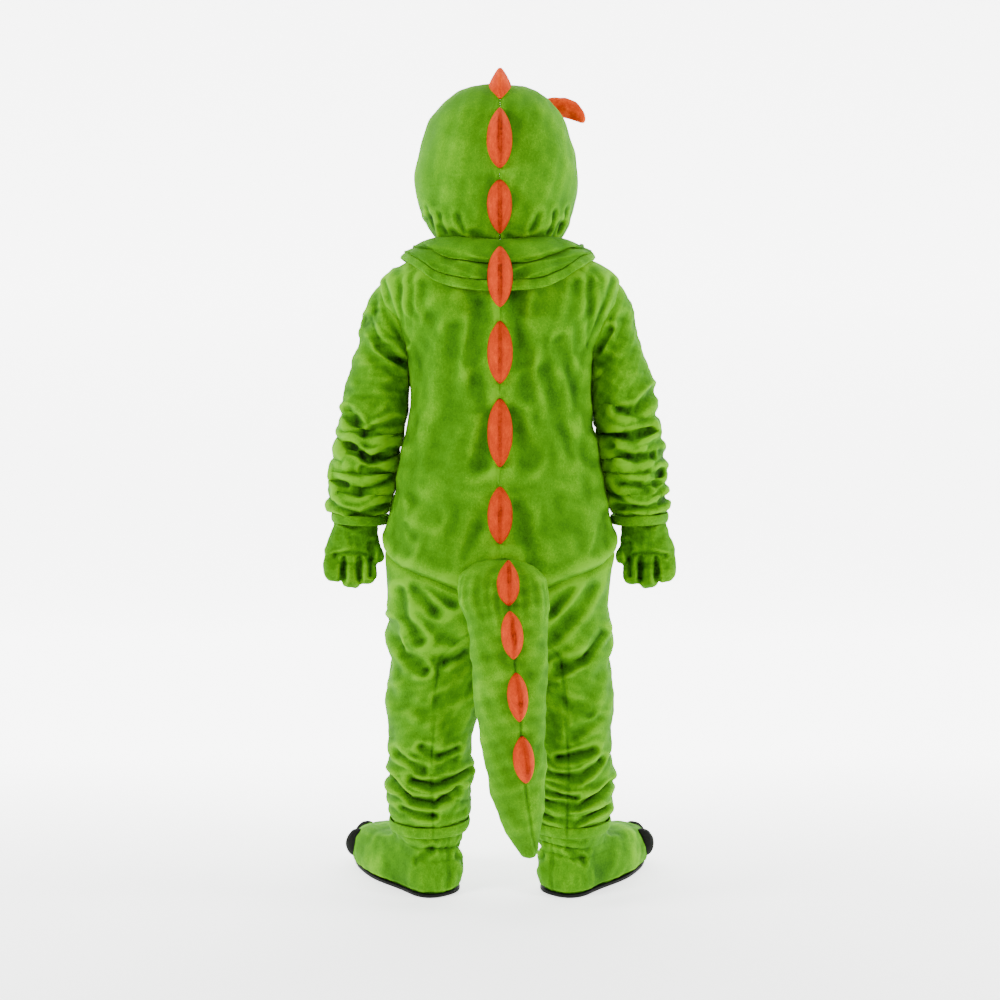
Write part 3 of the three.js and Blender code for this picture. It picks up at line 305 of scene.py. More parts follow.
# Camera at the photograph's angle: behind the wearer, a little above the waist, looking slightly down.
view = {"distance": 3.3, "height": 1.2, "down": 5.2, "field": 37.6}
eyes = bpy.data.cameras.new("camera")
eyes.sensor_width = 36
eyes.lens = 18 / math.tan(math.radians(view["field"] / 2))
camera = bpy.data.objects.new("camera", eyes)
camera.location = (0.0, view["distance"], view["height"] - suit["shoulder"] / 1000)
camera.rotation_euler = (math.radians(90 - view["down"]), 0, math.pi)
bpy.context.scene.collection.objects.link(camera)
bpy.context.scene.camera = camera


# Shader maths: a socket with the usual operators.
class Value:
    def __init__(self, tree, socket):
        self.tree, self.socket = tree, socket

    def maths(self, operation, other=None, swap=False, clamp=False):
        n = self.tree.nodes.new("ShaderNodeMath")
        n.operation = operation
        n.use_clamp = clamp
        pair = [self, other][:: -1 if swap else 1]
        for socket, item in zip(n.inputs, pair):
            if isinstance(item, Value):
                self.tree.links.new(item.socket, socket)
            elif item is not None:
                socket.default_value = item
        return Value(self.tree, n.outputs[0])

    def __add__(self, o): return self.maths("ADD", o)
    def __radd__(self, o): return self.maths("ADD", o)
    def __sub__(self, o): return self.maths("SUBTRACT", o)
    def __rsub__(self, o): return self.maths("SUBTRACT", o, swap=True)
    def __mul__(self, o): return self.maths("MULTIPLY", o)
    def clamped(self): return self.maths("ADD", 0.0, clamp=True)
    def absolute(self): return self.maths("ABSOLUTE")
    def sine(self): return self.maths("SINE")


class Finish:
    def __init__(self, name, **constants):
        self.material = bpy.data.materials.new(name)
        self.material.use_nodes = True
        self.tree = self.material.node_tree
        self.shader = self.tree.nodes["Principled BSDF"]
        for key, value in constants.items():
            self.shader.inputs[key.replace("_", " ")].default_value = value

    # Any node: its type, its settings, which are set first, and its sockets' values or links.
    def node(self, kind, settings=(), out=0, **sockets):
        n = self.tree.nodes.new("ShaderNode" + kind)
        for key, value in dict(settings).items():
            if key == "stops":
                for extra in range(len(value) - 2):
                    n.color_ramp.elements.new(0.5)
                for stop, (at, colour) in zip(n.color_ramp.elements, value):
                    stop.position, stop.color = at, colour
            else:
                setattr(n, key, value)
        for key, value in sockets.items():
            numbered = key[0] == "i" and key[1:].isdigit()
            socket = n.inputs[int(key[1:]) if numbered else key.replace("_", " ")]
            if isinstance(value, Value):
                self.tree.links.new(value.socket, socket)
            else:
                socket.default_value = value
        return Value(self.tree, n.outputs[out])

    def noise(self, where, scale, detail=2.0, roughness=0.5):
        return self.node("TexNoise", Vector=where, Scale=scale, Detail=detail, Roughness=roughness)

    def mix(self, factor, a, b):
        return self.node("Mix", {"data_type": "RGBA"}, 2, i0=factor, i6=a, i7=b)

    def feed(self, name, value):
        self.tree.links.new(value.socket, self.shader.inputs[name])

    def bump(self, height, strength, distance, under=None):
        more = {} if under is None else {"Normal": under}
        return self.node("Bump", Height=height, Strength=strength, Distance=distance, **more)


# Linear colour from screen values, c being one over 255: c / 12.92 when small, else ((c + 0.055) / 1.055)^2.4.
def srgb(r, g, b):
    linear = [c / 12.92 if c <= 0.04045 else ((c + 0.055) / 1.055) ** 2.4 for c in (r / 255, g / 255, b / 255)]
    return (*linear, 1.0)


# Short-pile plush: colours from deep to light, slow patches where the nap lies the other way, fine pile, and painted
# shade that darkens the colour towards the deep stop where folds and seams lie hollow.
def plushFinish(name, colours, patch=17.0, sheen=0.28, hollowShade=0.13):
    deep, low, mid, light = colours
    f = Finish(name, Roughness=0.95, Sheen_Weight=sheen, Sheen_Roughness=0.4, Sheen_Tint=light,
               Specular_IOR_Level=0.1)
    place = f.node("TexCoord", out=3)
    lay = f.node("Mapping", Vector=place, Scale=(1.0, 1.0, 0.8))
    nap = f.noise(lay, patch, 2.0, 0.5)
    tuft = f.noise(lay, 240.0, 2.0, 0.6)
    fibre = f.noise(place, 900.0, 1.0, 0.5)
    hollow = f.node("Attribute", {"attribute_name": "hollow"}, 2)
    # Painted shade: the tone falls where the mesh lies hollow, so folds, creases and seams darken towards the deep
    # colour.
    tone = (nap - 0.5) * 0.55 + (tuft - 0.5) * 0.45 + (fibre - 0.5) * 0.7 + 0.6 - hollow * hollowShade
    stops = [(0.0, deep), (0.34, low), (0.68, mid), (1.0, light)]
    f.feed("Base Color", f.node("ValToRGB", {"stops": stops}, Fac=tone.clamped()))
    coarse = f.bump(tuft, 0.4, 0.0016)
    f.feed("Normal", f.bump(fibre, 0.45, 0.001, coarse))
    return f


# The first, deepest colour of each set is where the painted shade of the deepest hollows takes the tone.
bodyGreens = (srgb(5, 22, 0), srgb(34, 79, 0), srgb(56, 112, 0), srgb(90, 148, 2))
trimGreens = (srgb(6, 23, 0), srgb(37, 82, 0), srgb(59, 115, 0), srgb(94, 152, 4))
greenPlush = plushFinish("greenPlush", bodyGreens)
greenTrim = plushFinish("greenTrim", trimGreens)
tailPlush = plushFinish("tailPlush", trimGreens)
oranges = (srgb(36, 6, 0), srgb(140, 34, 0), srgb(176, 50, 1), srgb(212, 76, 10))
# The spikes and the horn take stronger painted shade, which darkens their seam grooves.
orangePlush = plushFinish("orangePlush", oranges, 60.0, 0.2, 0.22)


# A plain finish: one noise picks the colour between two stops and may feed the roughness, as least + noise times
# more, and a bump.
def grainedFinish(name, grain, stops, roughness=None, bump=None, **constants):
    f = Finish(name, **constants)
    tone = f.noise(f.node("TexCoord", out=3), *grain)
    f.feed("Base Color", f.node("ValToRGB", {"stops": stops}, Fac=tone))
    if roughness:
        f.feed("Roughness", roughness[0] + tone * roughness[1])
    if bump:
        f.feed("Normal", f.bump(tone, *bump))
    return f


darkFelt = grainedFinish("darkFelt", (420.0, 2.0, 0.6), [(0.2, srgb(4, 5, 3)), (0.85, srgb(17, 19, 13))],
                         bump=(0.5, 0.001), Roughness=0.95, Sheen_Weight=0.03, Sheen_Roughness=0.5,
                         Specular_IOR_Level=0.06)
blackRubber = grainedFinish("blackRubber", (260.0, 3.0, 0.6), [(0.2, srgb(6, 7, 5)), (0.9, srgb(17, 18, 15))],
                            (0.5, 0.25), (0.3, 0.0006), Roughness=0.62, Specular_IOR_Level=0.12)
eyeVinyl = grainedFinish("eyeVinyl", (22.0, 3.0, 0.55), [(0.2, srgb(10, 10, 12)), (0.9, srgb(22, 22, 26))],
                         (0.12, 0.14), Roughness=0.16, Coat_Weight=0.6, Coat_Roughness=0.08)
toothMetal = grainedFinish("toothMetal", (300.0, 2.0, 0.5), [(0.2, srgb(120, 122, 118)), (0.9, srgb(176, 178, 172))],
                           (0.3, 0.25), Roughness=0.4, Metallic=0.9)
# How far apart threads lie, in metres: the mouth's mesh and the zip's tape.
threads = {"mesh": 0.0024, "tape": 0.0012}
meshCloth = Finish("meshCloth", Roughness=0.8, Specular_IOR_Level=0.3)
meshU = meshCloth.node("SeparateXYZ", Vector=meshCloth.node("UVMap", {"uv_map": "cut"}))
meshV = Value(meshCloth.tree, meshU.socket.node.outputs[1])
perMesh = 2 * math.pi / threads["mesh"]
# Painted shade: the middles between the threads, where one would see into the head, are painted near black; the
# threads are dark grey.
weave = ((meshU * perMesh).sine() * (meshV * perMesh).sine()).absolute().clamped()
meshCloth.feed("Base Color", meshCloth.mix(weave, srgb(40, 44, 40), srgb(6, 7, 6)))
meshCloth.feed("Normal", meshCloth.bump(1 - weave, 0.6, 0.0005))
zipCloth = Finish("zipCloth", Roughness=0.7, Specular_IOR_Level=0.3)
zipParts = zipCloth.node("SeparateXYZ", Vector=zipCloth.node("UVMap", {"uv_map": "cut"}))
zipAlong = Value(zipCloth.tree, zipParts.socket.node.outputs[1])
rib = (zipAlong * (2 * math.pi / threads["tape"])).sine() * 0.5 + 0.5
zipCloth.feed("Base Color", zipCloth.mix(rib, srgb(48, 86, 8), srgb(70, 116, 16)))
zipCloth.feed("Normal", zipCloth.bump(rib, 0.5, 0.0003))
print("materials ready")


# Torso, in level sections with soft corners.
torso = {"fullness": 2.4, "girth": 1400, "top": 1452, "rows": 110, "columns": 56, "armholeTop": 1440, "tuck": 0.93,
         "armDip": 3.4, "armWidth": 5, "creased": 0.35, "roll": 6, "rollAt": 27, "rollWidth": 17, "hemDip": 6,
         "hemWidth": 11, "seamDip": 3.6, "seamWidth": 5.0}
torsoTable = table("z halfWidth back front",
    (660, 236, 168, 142), (700, 240, 174, 146), (750, 252, 183, 154), (800, 260, 189, 160),
    (850, 253, 186, 161), (950, 232, 176, 160), (1044, 216, 171, 157), (1150, 203, 176, 158),
    (1220, 207, 182, 157), (1290, 240, 184, 153), (1340, 268, 180, 147), (1385, 266, 166, 136),
    (1412, 242.5, 153, 124), (1432, 202.5, 137, 110), (1452, 142, 108, 96))
seatSeam = table("angle z",
    (0, 796), (18, 778), (42, 753), (56, 740), (72, 718), (90, 700))
torsoCreases = table("around0 at0 around1 at1 depth width",
    (39, 1390, 36, 1315, 6, 10), (49, 1402, 46, 1310, 7, 11), (55, 1380, 57, 1262, 5, 13),
    (30, 1235, 42, 1120, 5, 16), (66, 1240, 52, 1030, 5, 22), (32, 1080, 40, 905, 6, 20),
    (74, 1130, 64, 880, 4, 24), (18, 900, 30, 800, 5, 16), (52, 870, 60, 770, 4, 18),
    (141, 1390, 144, 1318, 6, 10), (131, 1402, 135, 1305, 7, 11), (124, 1375, 121, 1270, 5, 13),
    (149, 1240, 137, 1100, 5, 16), (112, 1250, 127, 1050, 5, 22), (147, 1070, 139, 925, 6, 20),
    (107, 1110, 117, 860, 4, 24), (161, 890, 151, 805, 5, 16), (226, 1385, 222, 1290, 6, 13),
    (316, 1390, 320, 1280, 6, 13), (238, 1210, 226, 960, 5, 24), (303, 1180, 315, 930, 5, 24),
    (212, 920, 222, 800, 5, 18), (331, 900, 318, 790, 5, 18))
backFolds = table("x0 z0 x1 z1 depth width",
    (220, 1419, 216, 1245, 3.8, 8), (192, 1411, 197, 1266, 2.6, 11), (171, 1371, 176, 1234, 3.2, 11),
    (254, 1390, 241, 1340, 5, 4.5), (241, 1340, 225, 1298, 5, 4.5), (225, 1298, 202, 1251, 5, 4.5),
    (153, 1300, 176, 1209, 5, 15), (176, 1209, 200, 1043, 5, 15), (100, 1277, 104, 1131, 4.5, 17),
    (104, 1131, 135, 996, 4.5, 17), (47, 1333, 56, 1209, 7, 15), (56, 1209, 38, 1112, 5, 14),
    (23, 1103, 40, 992, 6, 13), (199, 923, 135, 874, 4, 14), (232, 923, 213, 800, 5, 12),
    (96, 897, 116, 781, 3.5, 18), (225, 869, 191, 833, 4, 10), (47, 854, 77, 794, 3.5, 13),
    (-196, 1407, -195, 1245, 3.8, 8), (-167, 1373, -166, 1234, 3, 11), (-247, 1392, -229, 1338, 5, 4.5),
    (-229, 1338, -210, 1289, 5, 4.5), (-210, 1289, -191, 1245, 5, 4.5), (-27, 1348, -51, 1209, 8, 14),
    (-51, 1209, -60, 1139, 5, 14), (-95, 1190, -124, 1092, 5, 13), (-124, 1092, -158, 1016, 5, 13),
    (-127, 1251, -167, 1141, 6, 10), (-167, 1141, -202, 1065, 6, 10), (-27, 1092, -61, 996, 6, 15),
    (-158, 1031, -207, 986, 5, 12), (-36, 903, -71, 785, 4, 13), (-232, 874, -213, 800, 5, 12),
    (-131, 915, -185, 828, 3, 16))


# The torso's level section, and its wall: the section with its creases pushed in towards the middle.
def torsoSection(around, z):
    return sectionOf(torsoTable, around, z, 0, torso["fullness"])


def torsoPoint(around, z):
    p = torsoSection(around, z)
    flat = np.stack([p[..., 0] / 250, p[..., 1] / 170, np.zeros(p.shape[:-1])], -1)
    flat /= np.linalg.norm(flat, axis=-1, keepdims=True)
    return p - flat * torso["creased"] * creaseDepth(torsoCreases, around, z, torso["girth"])[..., None]


# 0 in the middle of the torso's section and 1 on it.
def torsoReach(points):
    z = points[..., 2]
    halfWidth, back, front = (along(torsoTable, "z", z, c) for c in ("halfWidth", "back", "front"))
    y = np.abs(points[..., 1] / np.where(points[..., 1] > 0, back, front))
    reach = np.abs(points[..., 0] / halfWidth) ** torso["fullness"] + y ** torso["fullness"]
    return np.where(z > torso["top"], 9, reach ** (1 / torso["fullness"]))


# Sleeves: a bent tube. Around 0 is the outer side, 90 the back, 180 the side at the body; at runs down it.
sleeve = {"end": 502, "girth": 460, "rows": 164, "columns": 100, "rollStart": 212, "rollPitch": 64, "rollDepth": 5,
          "inner": 13}
cuff = {"end": 524, "gap": 0.4, "rows": 16, "puff": 3.2}
sleevePath = table("at x z across depth",
    (0, 182, 1338, 88, 92), (47, 220, 1311, 82, 92), (102, 247, 1263, 71, 88), (168, 269, 1201, 62, 82),
    (220, 279, 1150, 66, 80), (270, 286, 1100, 69, 79), (327, 293, 1044, 69, 80), (382, 304, 990, 67, 79),
    (442, 309, 930, 68, 78), (488, 314, 884, 68, 75), (502, 315, 870, 64, 70), (524, 316, 848, 61, 67))
leftSleeveCreases = table("around0 at0 around1 at1 depth width",
    (20, 95, 130, 150, 8, 11), (30, 120, 140, 185, 6, 11), (300, 130, 235, 175, 6, 12),
    (60, 215, 120, 250, 4, 12), (-20, 283, 100, 300, 9, 9), (40, 322, 170, 314, 10, 9),
    (-70, 334, 70, 350, 11, 9), (60, 371, 180, 357, 9, 8), (-90, 377, 50, 387, 11, 9),
    (30, 412, 165, 402, 11, 9), (-60, 424, 60, 434, 10, 9), (50, 455, 180, 446, 10, 9),
    (-110, 462, 40, 474, 9, 8), (190, 300, 290, 318, 9, 10), (200, 352, 280, 344, 9, 10),
    (190, 398, 300, 410, 10, 10), (200, 446, 285, 438, 9, 10))
leftSleeveFolds = table("x0 z0 x1 z1 depth width",
    (262, 1375, 247, 1321, 6, 7), (247, 1321, 213, 1264, 6, 7), (289, 1303, 265, 1249, 9, 8),
    (265, 1249, 215, 1209, 9, 8), (271, 1357, 279, 1305, 5, 8), (315, 1249, 253, 1198, 4, 11),
    (328, 1144, 275, 1122, 5, 10), (339, 1102, 299, 1054, 11, 8), (299, 1054, 234, 1073, 10, 8),
    (329, 1023, 285, 994, 12, 8), (285, 994, 230, 1016, 12, 8), (361, 947, 305, 923, 11, 7.5),
    (305, 923, 246, 950, 11, 7.5), (368, 894, 310, 870, 9, 6), (310, 870, 253, 894, 9, 6),
    (301, 978, 237, 961, 6, 7), (262, 1396, 249, 1344, 5, 4.5), (249, 1344, 232, 1301, 5, 4.5),
    (232, 1301, 208, 1253, 5, 4.5))
rightSleeveFolds = table("x0 z0 x1 z1 depth width",
    (-241, 1279, -213, 1236, 9, 7), (-258, 1362, -237, 1305, 5, 7), (-276, 1299, -247, 1249, 5, 10),
    (-339, 1142, -297, 1104, 10, 8), (-297, 1104, -260, 1104, 9, 8), (-333, 1060, -289, 1045, 11, 8),
    (-289, 1045, -232, 1051, 11, 8), (-214, 1073, -249, 1029, 7, 8), (-355, 1014, -298, 996, 8, 8),
    (-298, 996, -265, 1009, 8, 8), (-365, 963, -325, 934, 11, 7.5), (-325, 934, -268, 943, 11, 7.5),
    (-372, 905, -326, 887, 9, 6), (-326, 887, -264, 894, 9, 6), (-241, 932, -279, 896, 6, 7),
    (-256, 1399, -236, 1342, 5, 4.5), (-236, 1342, -217, 1292, 5, 4.5), (-217, 1292, -197, 1247, 5, 4.5))
sleeveFolds = {1: leftSleeveFolds, -1: rightSleeveFolds}
# How much further out each sleeve's outer side lies near the armhole and above the cuff.
sleeveShape = {1: {"upper": -5, "lower": 9}, -1: {"upper": -11, "lower": 1}}


# The other side's creases: the same ones, each turned and shifted a little by its number.
def jittered(creases, turn0, turn1, shift0, shift1):
    i = np.arange(len(creases["depth"]))
    moved = dict(creases)
    moved["around0"], moved["around1"] = creases["around0"] + turn0(i), creases["around1"] + turn1(i)
    moved["at0"], moved["at1"] = creases["at0"] + shift0(i), creases["at1"] + shift1(i)
    return moved


sleeveCreases = {
    1: leftSleeveCreases,
    -1: jittered(leftSleeveCreases, lambda i: 6 * np.cos(2.1 * i), lambda i: 7 * np.sin(1.7 * i),
                 lambda i: 4 * np.sin(1.3 * i), lambda i: 4 * np.cos(1.9 * i)),
}


# The sleeve's axis, and its wall: across and depth by the cosine and sine round it, less the creases and rolls.
def sleeveAxis(at):
    return along(sleevePath, "at", at, "x"), along(sleevePath, "at", at, "z")


def sleevePoint(side, around, at, folded=1.0):
    around, at = np.broadcast_arrays(np.asarray(around, float), np.asarray(at, float))
    x, z = sleeveAxis(at)
    x1, z1 = sleeveAxis(at + 4)
    x0, z0 = sleeveAxis(np.maximum(at - 4, 0))
    length = np.hypot(x1 - x0, z1 - z0)
    push = creaseDepth(sleeveCreases[side], around, at, sleeve["girth"])
    soft = rolls(around * side, at, sleeve["rollStart"], sleeve["end"] + 6, sleeve["rollPitch"],
                 sleeve["rollDepth"], 5 + side)
    push = push * (1 - 0.5 * folded) + folded * soft
    a = (along(sleevePath, "at", at, "across") - push) * np.cos(np.radians(around))
    y = (along(sleevePath, "at", at, "depth") - push) * np.sin(np.radians(around))
    return radial(side * (x + a * (z0 - z1) / length), y, z + a * (x1 - x0) / length)


# 0 on a sleeve's axis and 1 on its wall; far points give 9.
def sleeveReach(side, points):
    ats = np.linspace(0, 300, 151)
    x, z = sleeveAxis(ats)
    dx, dz = side * points[..., 0, None] - x, points[..., 2, None] - z
    nearest = np.argmin(dx * dx + dz * dz, -1)
    at = ats[nearest]
    x1, z1 = sleeveAxis(at + 4)
    x0, z0 = sleeveAxis(np.maximum(at - 4, 0))
    length = np.hypot(x1 - x0, z1 - z0)
    cx, cz = side * points[..., 0] - x[nearest], points[..., 2] - z[nearest]
    a = cx * (z0 - z1) / length + cz * (x1 - x0) / length
    ahead = cx * (x1 - x0) / length + cz * (z1 - z0) / length
    across, depth = (along(sleevePath, "at", at, c) for c in ("across", "depth"))
    reach = np.hypot(a / across, points[..., 1] / depth)
    return np.where(np.abs(ahead) > 12, 9, reach)


# Weights of neighbours that even an edge out.
evening = np.array([1, 2, 3, 2, 1]) / 9


# The angle from the side seam at which a torso panel meets the sleeve, for each height: 0 where there is none.
def armholeAngle(side, face, heights):
    angles = np.linspace(0, 70, 141)
    turn = angles if face > 0 else -angles
    around = turn if side > 0 else 180 - turn
    points = torsoPoint(around[None, :], heights[:, None])
    inside = (sleeveReach(side, points) < torso["tuck"]) & (heights[:, None] < torso["armholeTop"])
    edge = np.where(inside.any(1), angles[inside.shape[1] - 1 - np.argmax(inside[:, ::-1], 1)], 0)
    return np.where(edge > 0, np.convolve(np.pad(edge, 2, "edge"), evening, "valid"), 0)


# A quarter of the torso, from its side seam or armhole to the middle.
def torsoPanel(side, face):
    shares = np.linspace(0, 1, torso["rows"])
    middle = along(seatSeam, "angle", 90, "z")
    heights = middle + (torso["top"] - middle) * shares
    start = armholeAngle(side, face, heights)
    t = np.linspace(0, 1, torso["columns"])
    ends = 90.0 if face > 0 else 88.6
    turn = start[:, None] + (ends - start[:, None]) * t
    z = byQuarter(seatSeam, turn)
    z = z + (torso["top"] - z) * shares[:, None]
    turn = turn if face > 0 else -turn
    around = turn if side > 0 else 180 - turn
    points = torsoPoint(around, z)
    if (side > 0) != (face > 0):
        points = points[:, ::-1]
    push = unevenness(points, 1.3, 150, 3) + unevenness(points, 0.5, 46, 4)
    push = push - foldsRound(points, backFolds, backFolds, 24, 0.95, 1.4)
    overhang = np.exp(-(((fromSide(points, "bottom") - torso["rollAt"]) / torso["rollWidth"]) ** 2))
    push = push + torso["roll"] * overhang
    points = points + gridNormals(points, False, 1) * push[..., None]
    points = sewnSides(points, ("bottom",), False, 1, torso["hemDip"], torso["hemWidth"])
    seams = ("first", "last") if (side > 0) == (face > 0) else ("last", "first")
    points = sewnSides(points, seams[:1], False, 1, torso["armDip"], torso["armWidth"])
    return sewnSides(points, seams[1:], False, 1, torso["seamDip"], torso["seamWidth"])


for side, hand in hands:
    for face, name in ((1, "back"), (-1, "front")):
        clothPiece(f"{name}_{hand}", torsoPanel(side, face), greenPlush, False, 1)
print("torso done")


# The sleeve's first row lies where its wall comes out of the torso.
def sleeveStart(side, around):
    ats = np.arange(0, 260, 1.0)
    points = sleevePoint(side, around[None, :], ats[:, None], 0.0)
    inside = (torsoReach(points) < 0.975) & (ats[:, None] < 175)
    last = np.where(inside.any(0), ats[inside.shape[0] - 1 - np.argmax(inside[::-1], 0)], 0)
    return np.convolve(np.concatenate([last[-2:], last, last[:2]]), evening, "valid")


# Where a sleeve would go into the torso's side it is held just outside it.
def besideTorso(points, side, gap):
    z = points[..., 2]
    halfWidth, back, front = (along(torsoTable, "z", z, c) for c in ("halfWidth", "back", "front"))
    y = np.abs(points[..., 1]) / np.where(points[..., 1] > 0, back, front)
    wall = halfWidth * np.clip(1 - y ** torso["fullness"], 0, 1) ** (1 / torso["fullness"]) + gap
    x = np.maximum(side * points[..., 0], np.where(z < torso["top"], wall, 0))
    return radial(side * x, points[..., 1], z)


for side, hand in hands:
    around = allRound(sleeve["columns"])
    start = sleeveStart(side, around)
    t = np.linspace(0, 1, sleeve["rows"])[:, None]
    at = start + (sleeve["end"] - start) * t
    points = sleevePoint(side, around[None, :], at)
    push = unevenness(points, 1.4, 60, 11 + side) + unevenness(points, 0.8, 26, 17 + side)
    push = push - foldsRound(points, sleeveFolds[side], sleeveFolds[-side], 24, 1.0, 1.25)
    outer = np.clip(np.cos(np.radians(around)), 0, 1)[None, :]
    inner = np.clip(-np.cos(np.radians(around)), 0, 1)[None, :]
    shape = sleeveShape[side]
    push = push + inner * sleeve["inner"] * smooth((at - 120) / 60) * smooth((505 - at) / 60)
    upper = shape["upper"] * np.exp(-(((at - 105) / 55) ** 2))
    push = push + outer * (upper + shape["lower"] * smooth((at - 260) / 120))
    points = points + gridNormals(points, True, -side) * (push * smooth(t / 0.06))[..., None]
    free = smooth((at - start) / 30)[..., None]
    points = points + (besideTorso(points, side, 1.5) - points) * free
    points = sewnSides(points, ("bottom",), True, -side, 3.4, 6)
    points = sewnSides(points, ("top",), True, -side, 4, 5.5)
    clothPiece(f"sleeve_{hand}", points, greenPlush, True, -side)
    band = np.linspace(sleeve["end"] + cuff["gap"], cuff["end"], cuff["rows"])[:, None]
    puff = cuff["puff"] * np.sin(math.pi * (band - sleeve["end"]) / (cuff["end"] - sleeve["end"])) ** 0.7
    points = sleevePoint(side, around[None, :], band, 0.0)
    points = points + gridNormals(points, True, -side) * (puff + unevenness(points, 0.6, 30, 23))[..., None]
    clothPiece(f"cuff_{hand}", points, greenTrim, True, -side)
print("sleeves done")


# Legs: around 0 is the outer side, 90 the back, 180 the side at the other leg. Share 1 is the seat seam.
leg = {"low": 170, "band": 26, "dip": 36, "girth": 640, "rows": 174, "columns": 118, "rollStart": 168, "rollEnd": 352,
       "rollPitch": 54, "rollDepth": 5, "topDip": 8, "topWidth": 11, "tuck": 6, "puff": 4.0,
       "slim": {1: 1, -1: 10}}
legTable = table("z middle halfWidth back front",
    (142, 162, 88, 88, 88), (170, 162, 91, 92, 92), (196, 162, 95, 99, 98), (232, 163, 96, 102, 101),
    (262, 162, 101, 106, 104), (322, 160, 96, 105, 102), (376, 157, 99, 107, 104),
    (448, 151, 109, 113, 110), (530, 140, 112, 121, 117), (592, 135, 121, 132, 124),
    (650, 129, 125, 146, 130), (700, 127, 126, 158, 136), (796, 127, 127, 160, 140))
leftLegCreases = table("around0 at0 around1 at1 depth width",
    (38, 720, 80, 610, 7, 14), (20, 690, 60, 600, 5, 13), (5, 610, 95, 545, 7, 13),
    (90, 566, 150, 556, 5, 12), (-8, 545, 40, 520, 5, 12), (60, 480, 120, 420, 4, 18),
    (55, 338, 130, 330, 8, 9), (-30, 325, 70, 300, 9, 9), (30, 268, 165, 280, 12, 10),
    (-60, 272, 60, 248, 11, 10), (10, 228, 120, 236, 12, 9), (110, 248, 200, 240, 8, 9),
    (-10, 204, 150, 196, 9, 8), (200, 318, 310, 332, 9, 11), (210, 282, 330, 268, 11, 10),
    (190, 226, 300, 238, 11, 10), (220, 206, 340, 200, 8, 9), (240, 700, 300, 600, 6, 16))
leftLegFolds = table("x0 z0 x1 z1 depth width",
    (187, 718, 143, 676, 10, 12), (158, 727, 99, 694, 9, 10), (221, 707, 208, 652, 9, 10),
    (208, 652, 173, 605, 9, 10), (244, 627, 218, 567, 11, 9), (218, 567, 165, 534, 11, 9),
    (117, 556, 73, 578, 7, 8), (153, 637, 103, 609, 5, 14), (175, 358, 134, 338, 9, 7),
    (134, 338, 97, 349, 9, 7), (230, 333, 171, 306, 10, 7), (198, 281, 140, 269, 13, 7),
    (140, 269, 73, 288, 13, 7), (255, 272, 200, 238, 13, 7), (200, 238, 144, 227, 13, 7),
    (144, 227, 95, 256, 12, 7), (220, 213, 145, 199, 8, 6), (130, 466, 64, 489, 6, 12),
    (241, 466, 175, 439, 6, 12))
rightLegFolds = table("x0 z0 x1 z1 depth width",
    (-112, 676, -151, 725, 10, 12), (-206, 718, -177, 676, 7, 13), (-177, 676, -119, 627, 7, 13),
    (-231, 609, -187, 560, 11, 9), (-187, 560, -126, 538, 11, 9), (-210, 347, -129, 333, 10, 7),
    (-91, 295, -179, 290, 12, 7), (-179, 290, -228, 318, 12, 7), (-91, 252, -169, 243, 8, 6),
    (-98, 227, -179, 221, 13, 7), (-179, 221, -249, 256, 13, 7), (-98, 193, -169, 183, 9, 6),
    (-169, 183, -238, 206, 9, 6), (-135, 466, -201, 433, 6, 12), (-168, 388, -223, 417, 6, 10))
legFolds = {1: leftLegFolds, -1: rightLegFolds}
legCreases = {
    1: leftLegCreases,
    -1: jittered(leftLegCreases, lambda i: 7 * np.sin(2.3 * i), lambda i: 6 * np.cos(1.5 * i),
                 lambda i: 5 * np.cos(1.1 * i), lambda i: 5 * np.sin(2.7 * i)),
}


# The leg's top edge: the seat seam outside, and inside an edge that dips by dip |cos|^0.8 at the crotch.
def legTopPoint(around):
    turn = (around + 90) % 360 - 90
    outer = torsoPoint(np.minimum(turn, 90), byQuarter(seatSeam, np.minimum(turn, 90)) - suit["seam"])
    s = np.sin(np.radians(turn))
    low = along(seatSeam, "angle", 90, "z") - suit["seam"]
    edge = np.where(s > 0, torsoPoint(90, low)[1], -torsoPoint(270, low)[1])
    inner = radial(0 * turn, edge * s, low - leg["dip"] * np.abs(np.cos(np.radians(turn))) ** 0.8)
    return np.where((turn <= 90)[:, None], outer, inner)


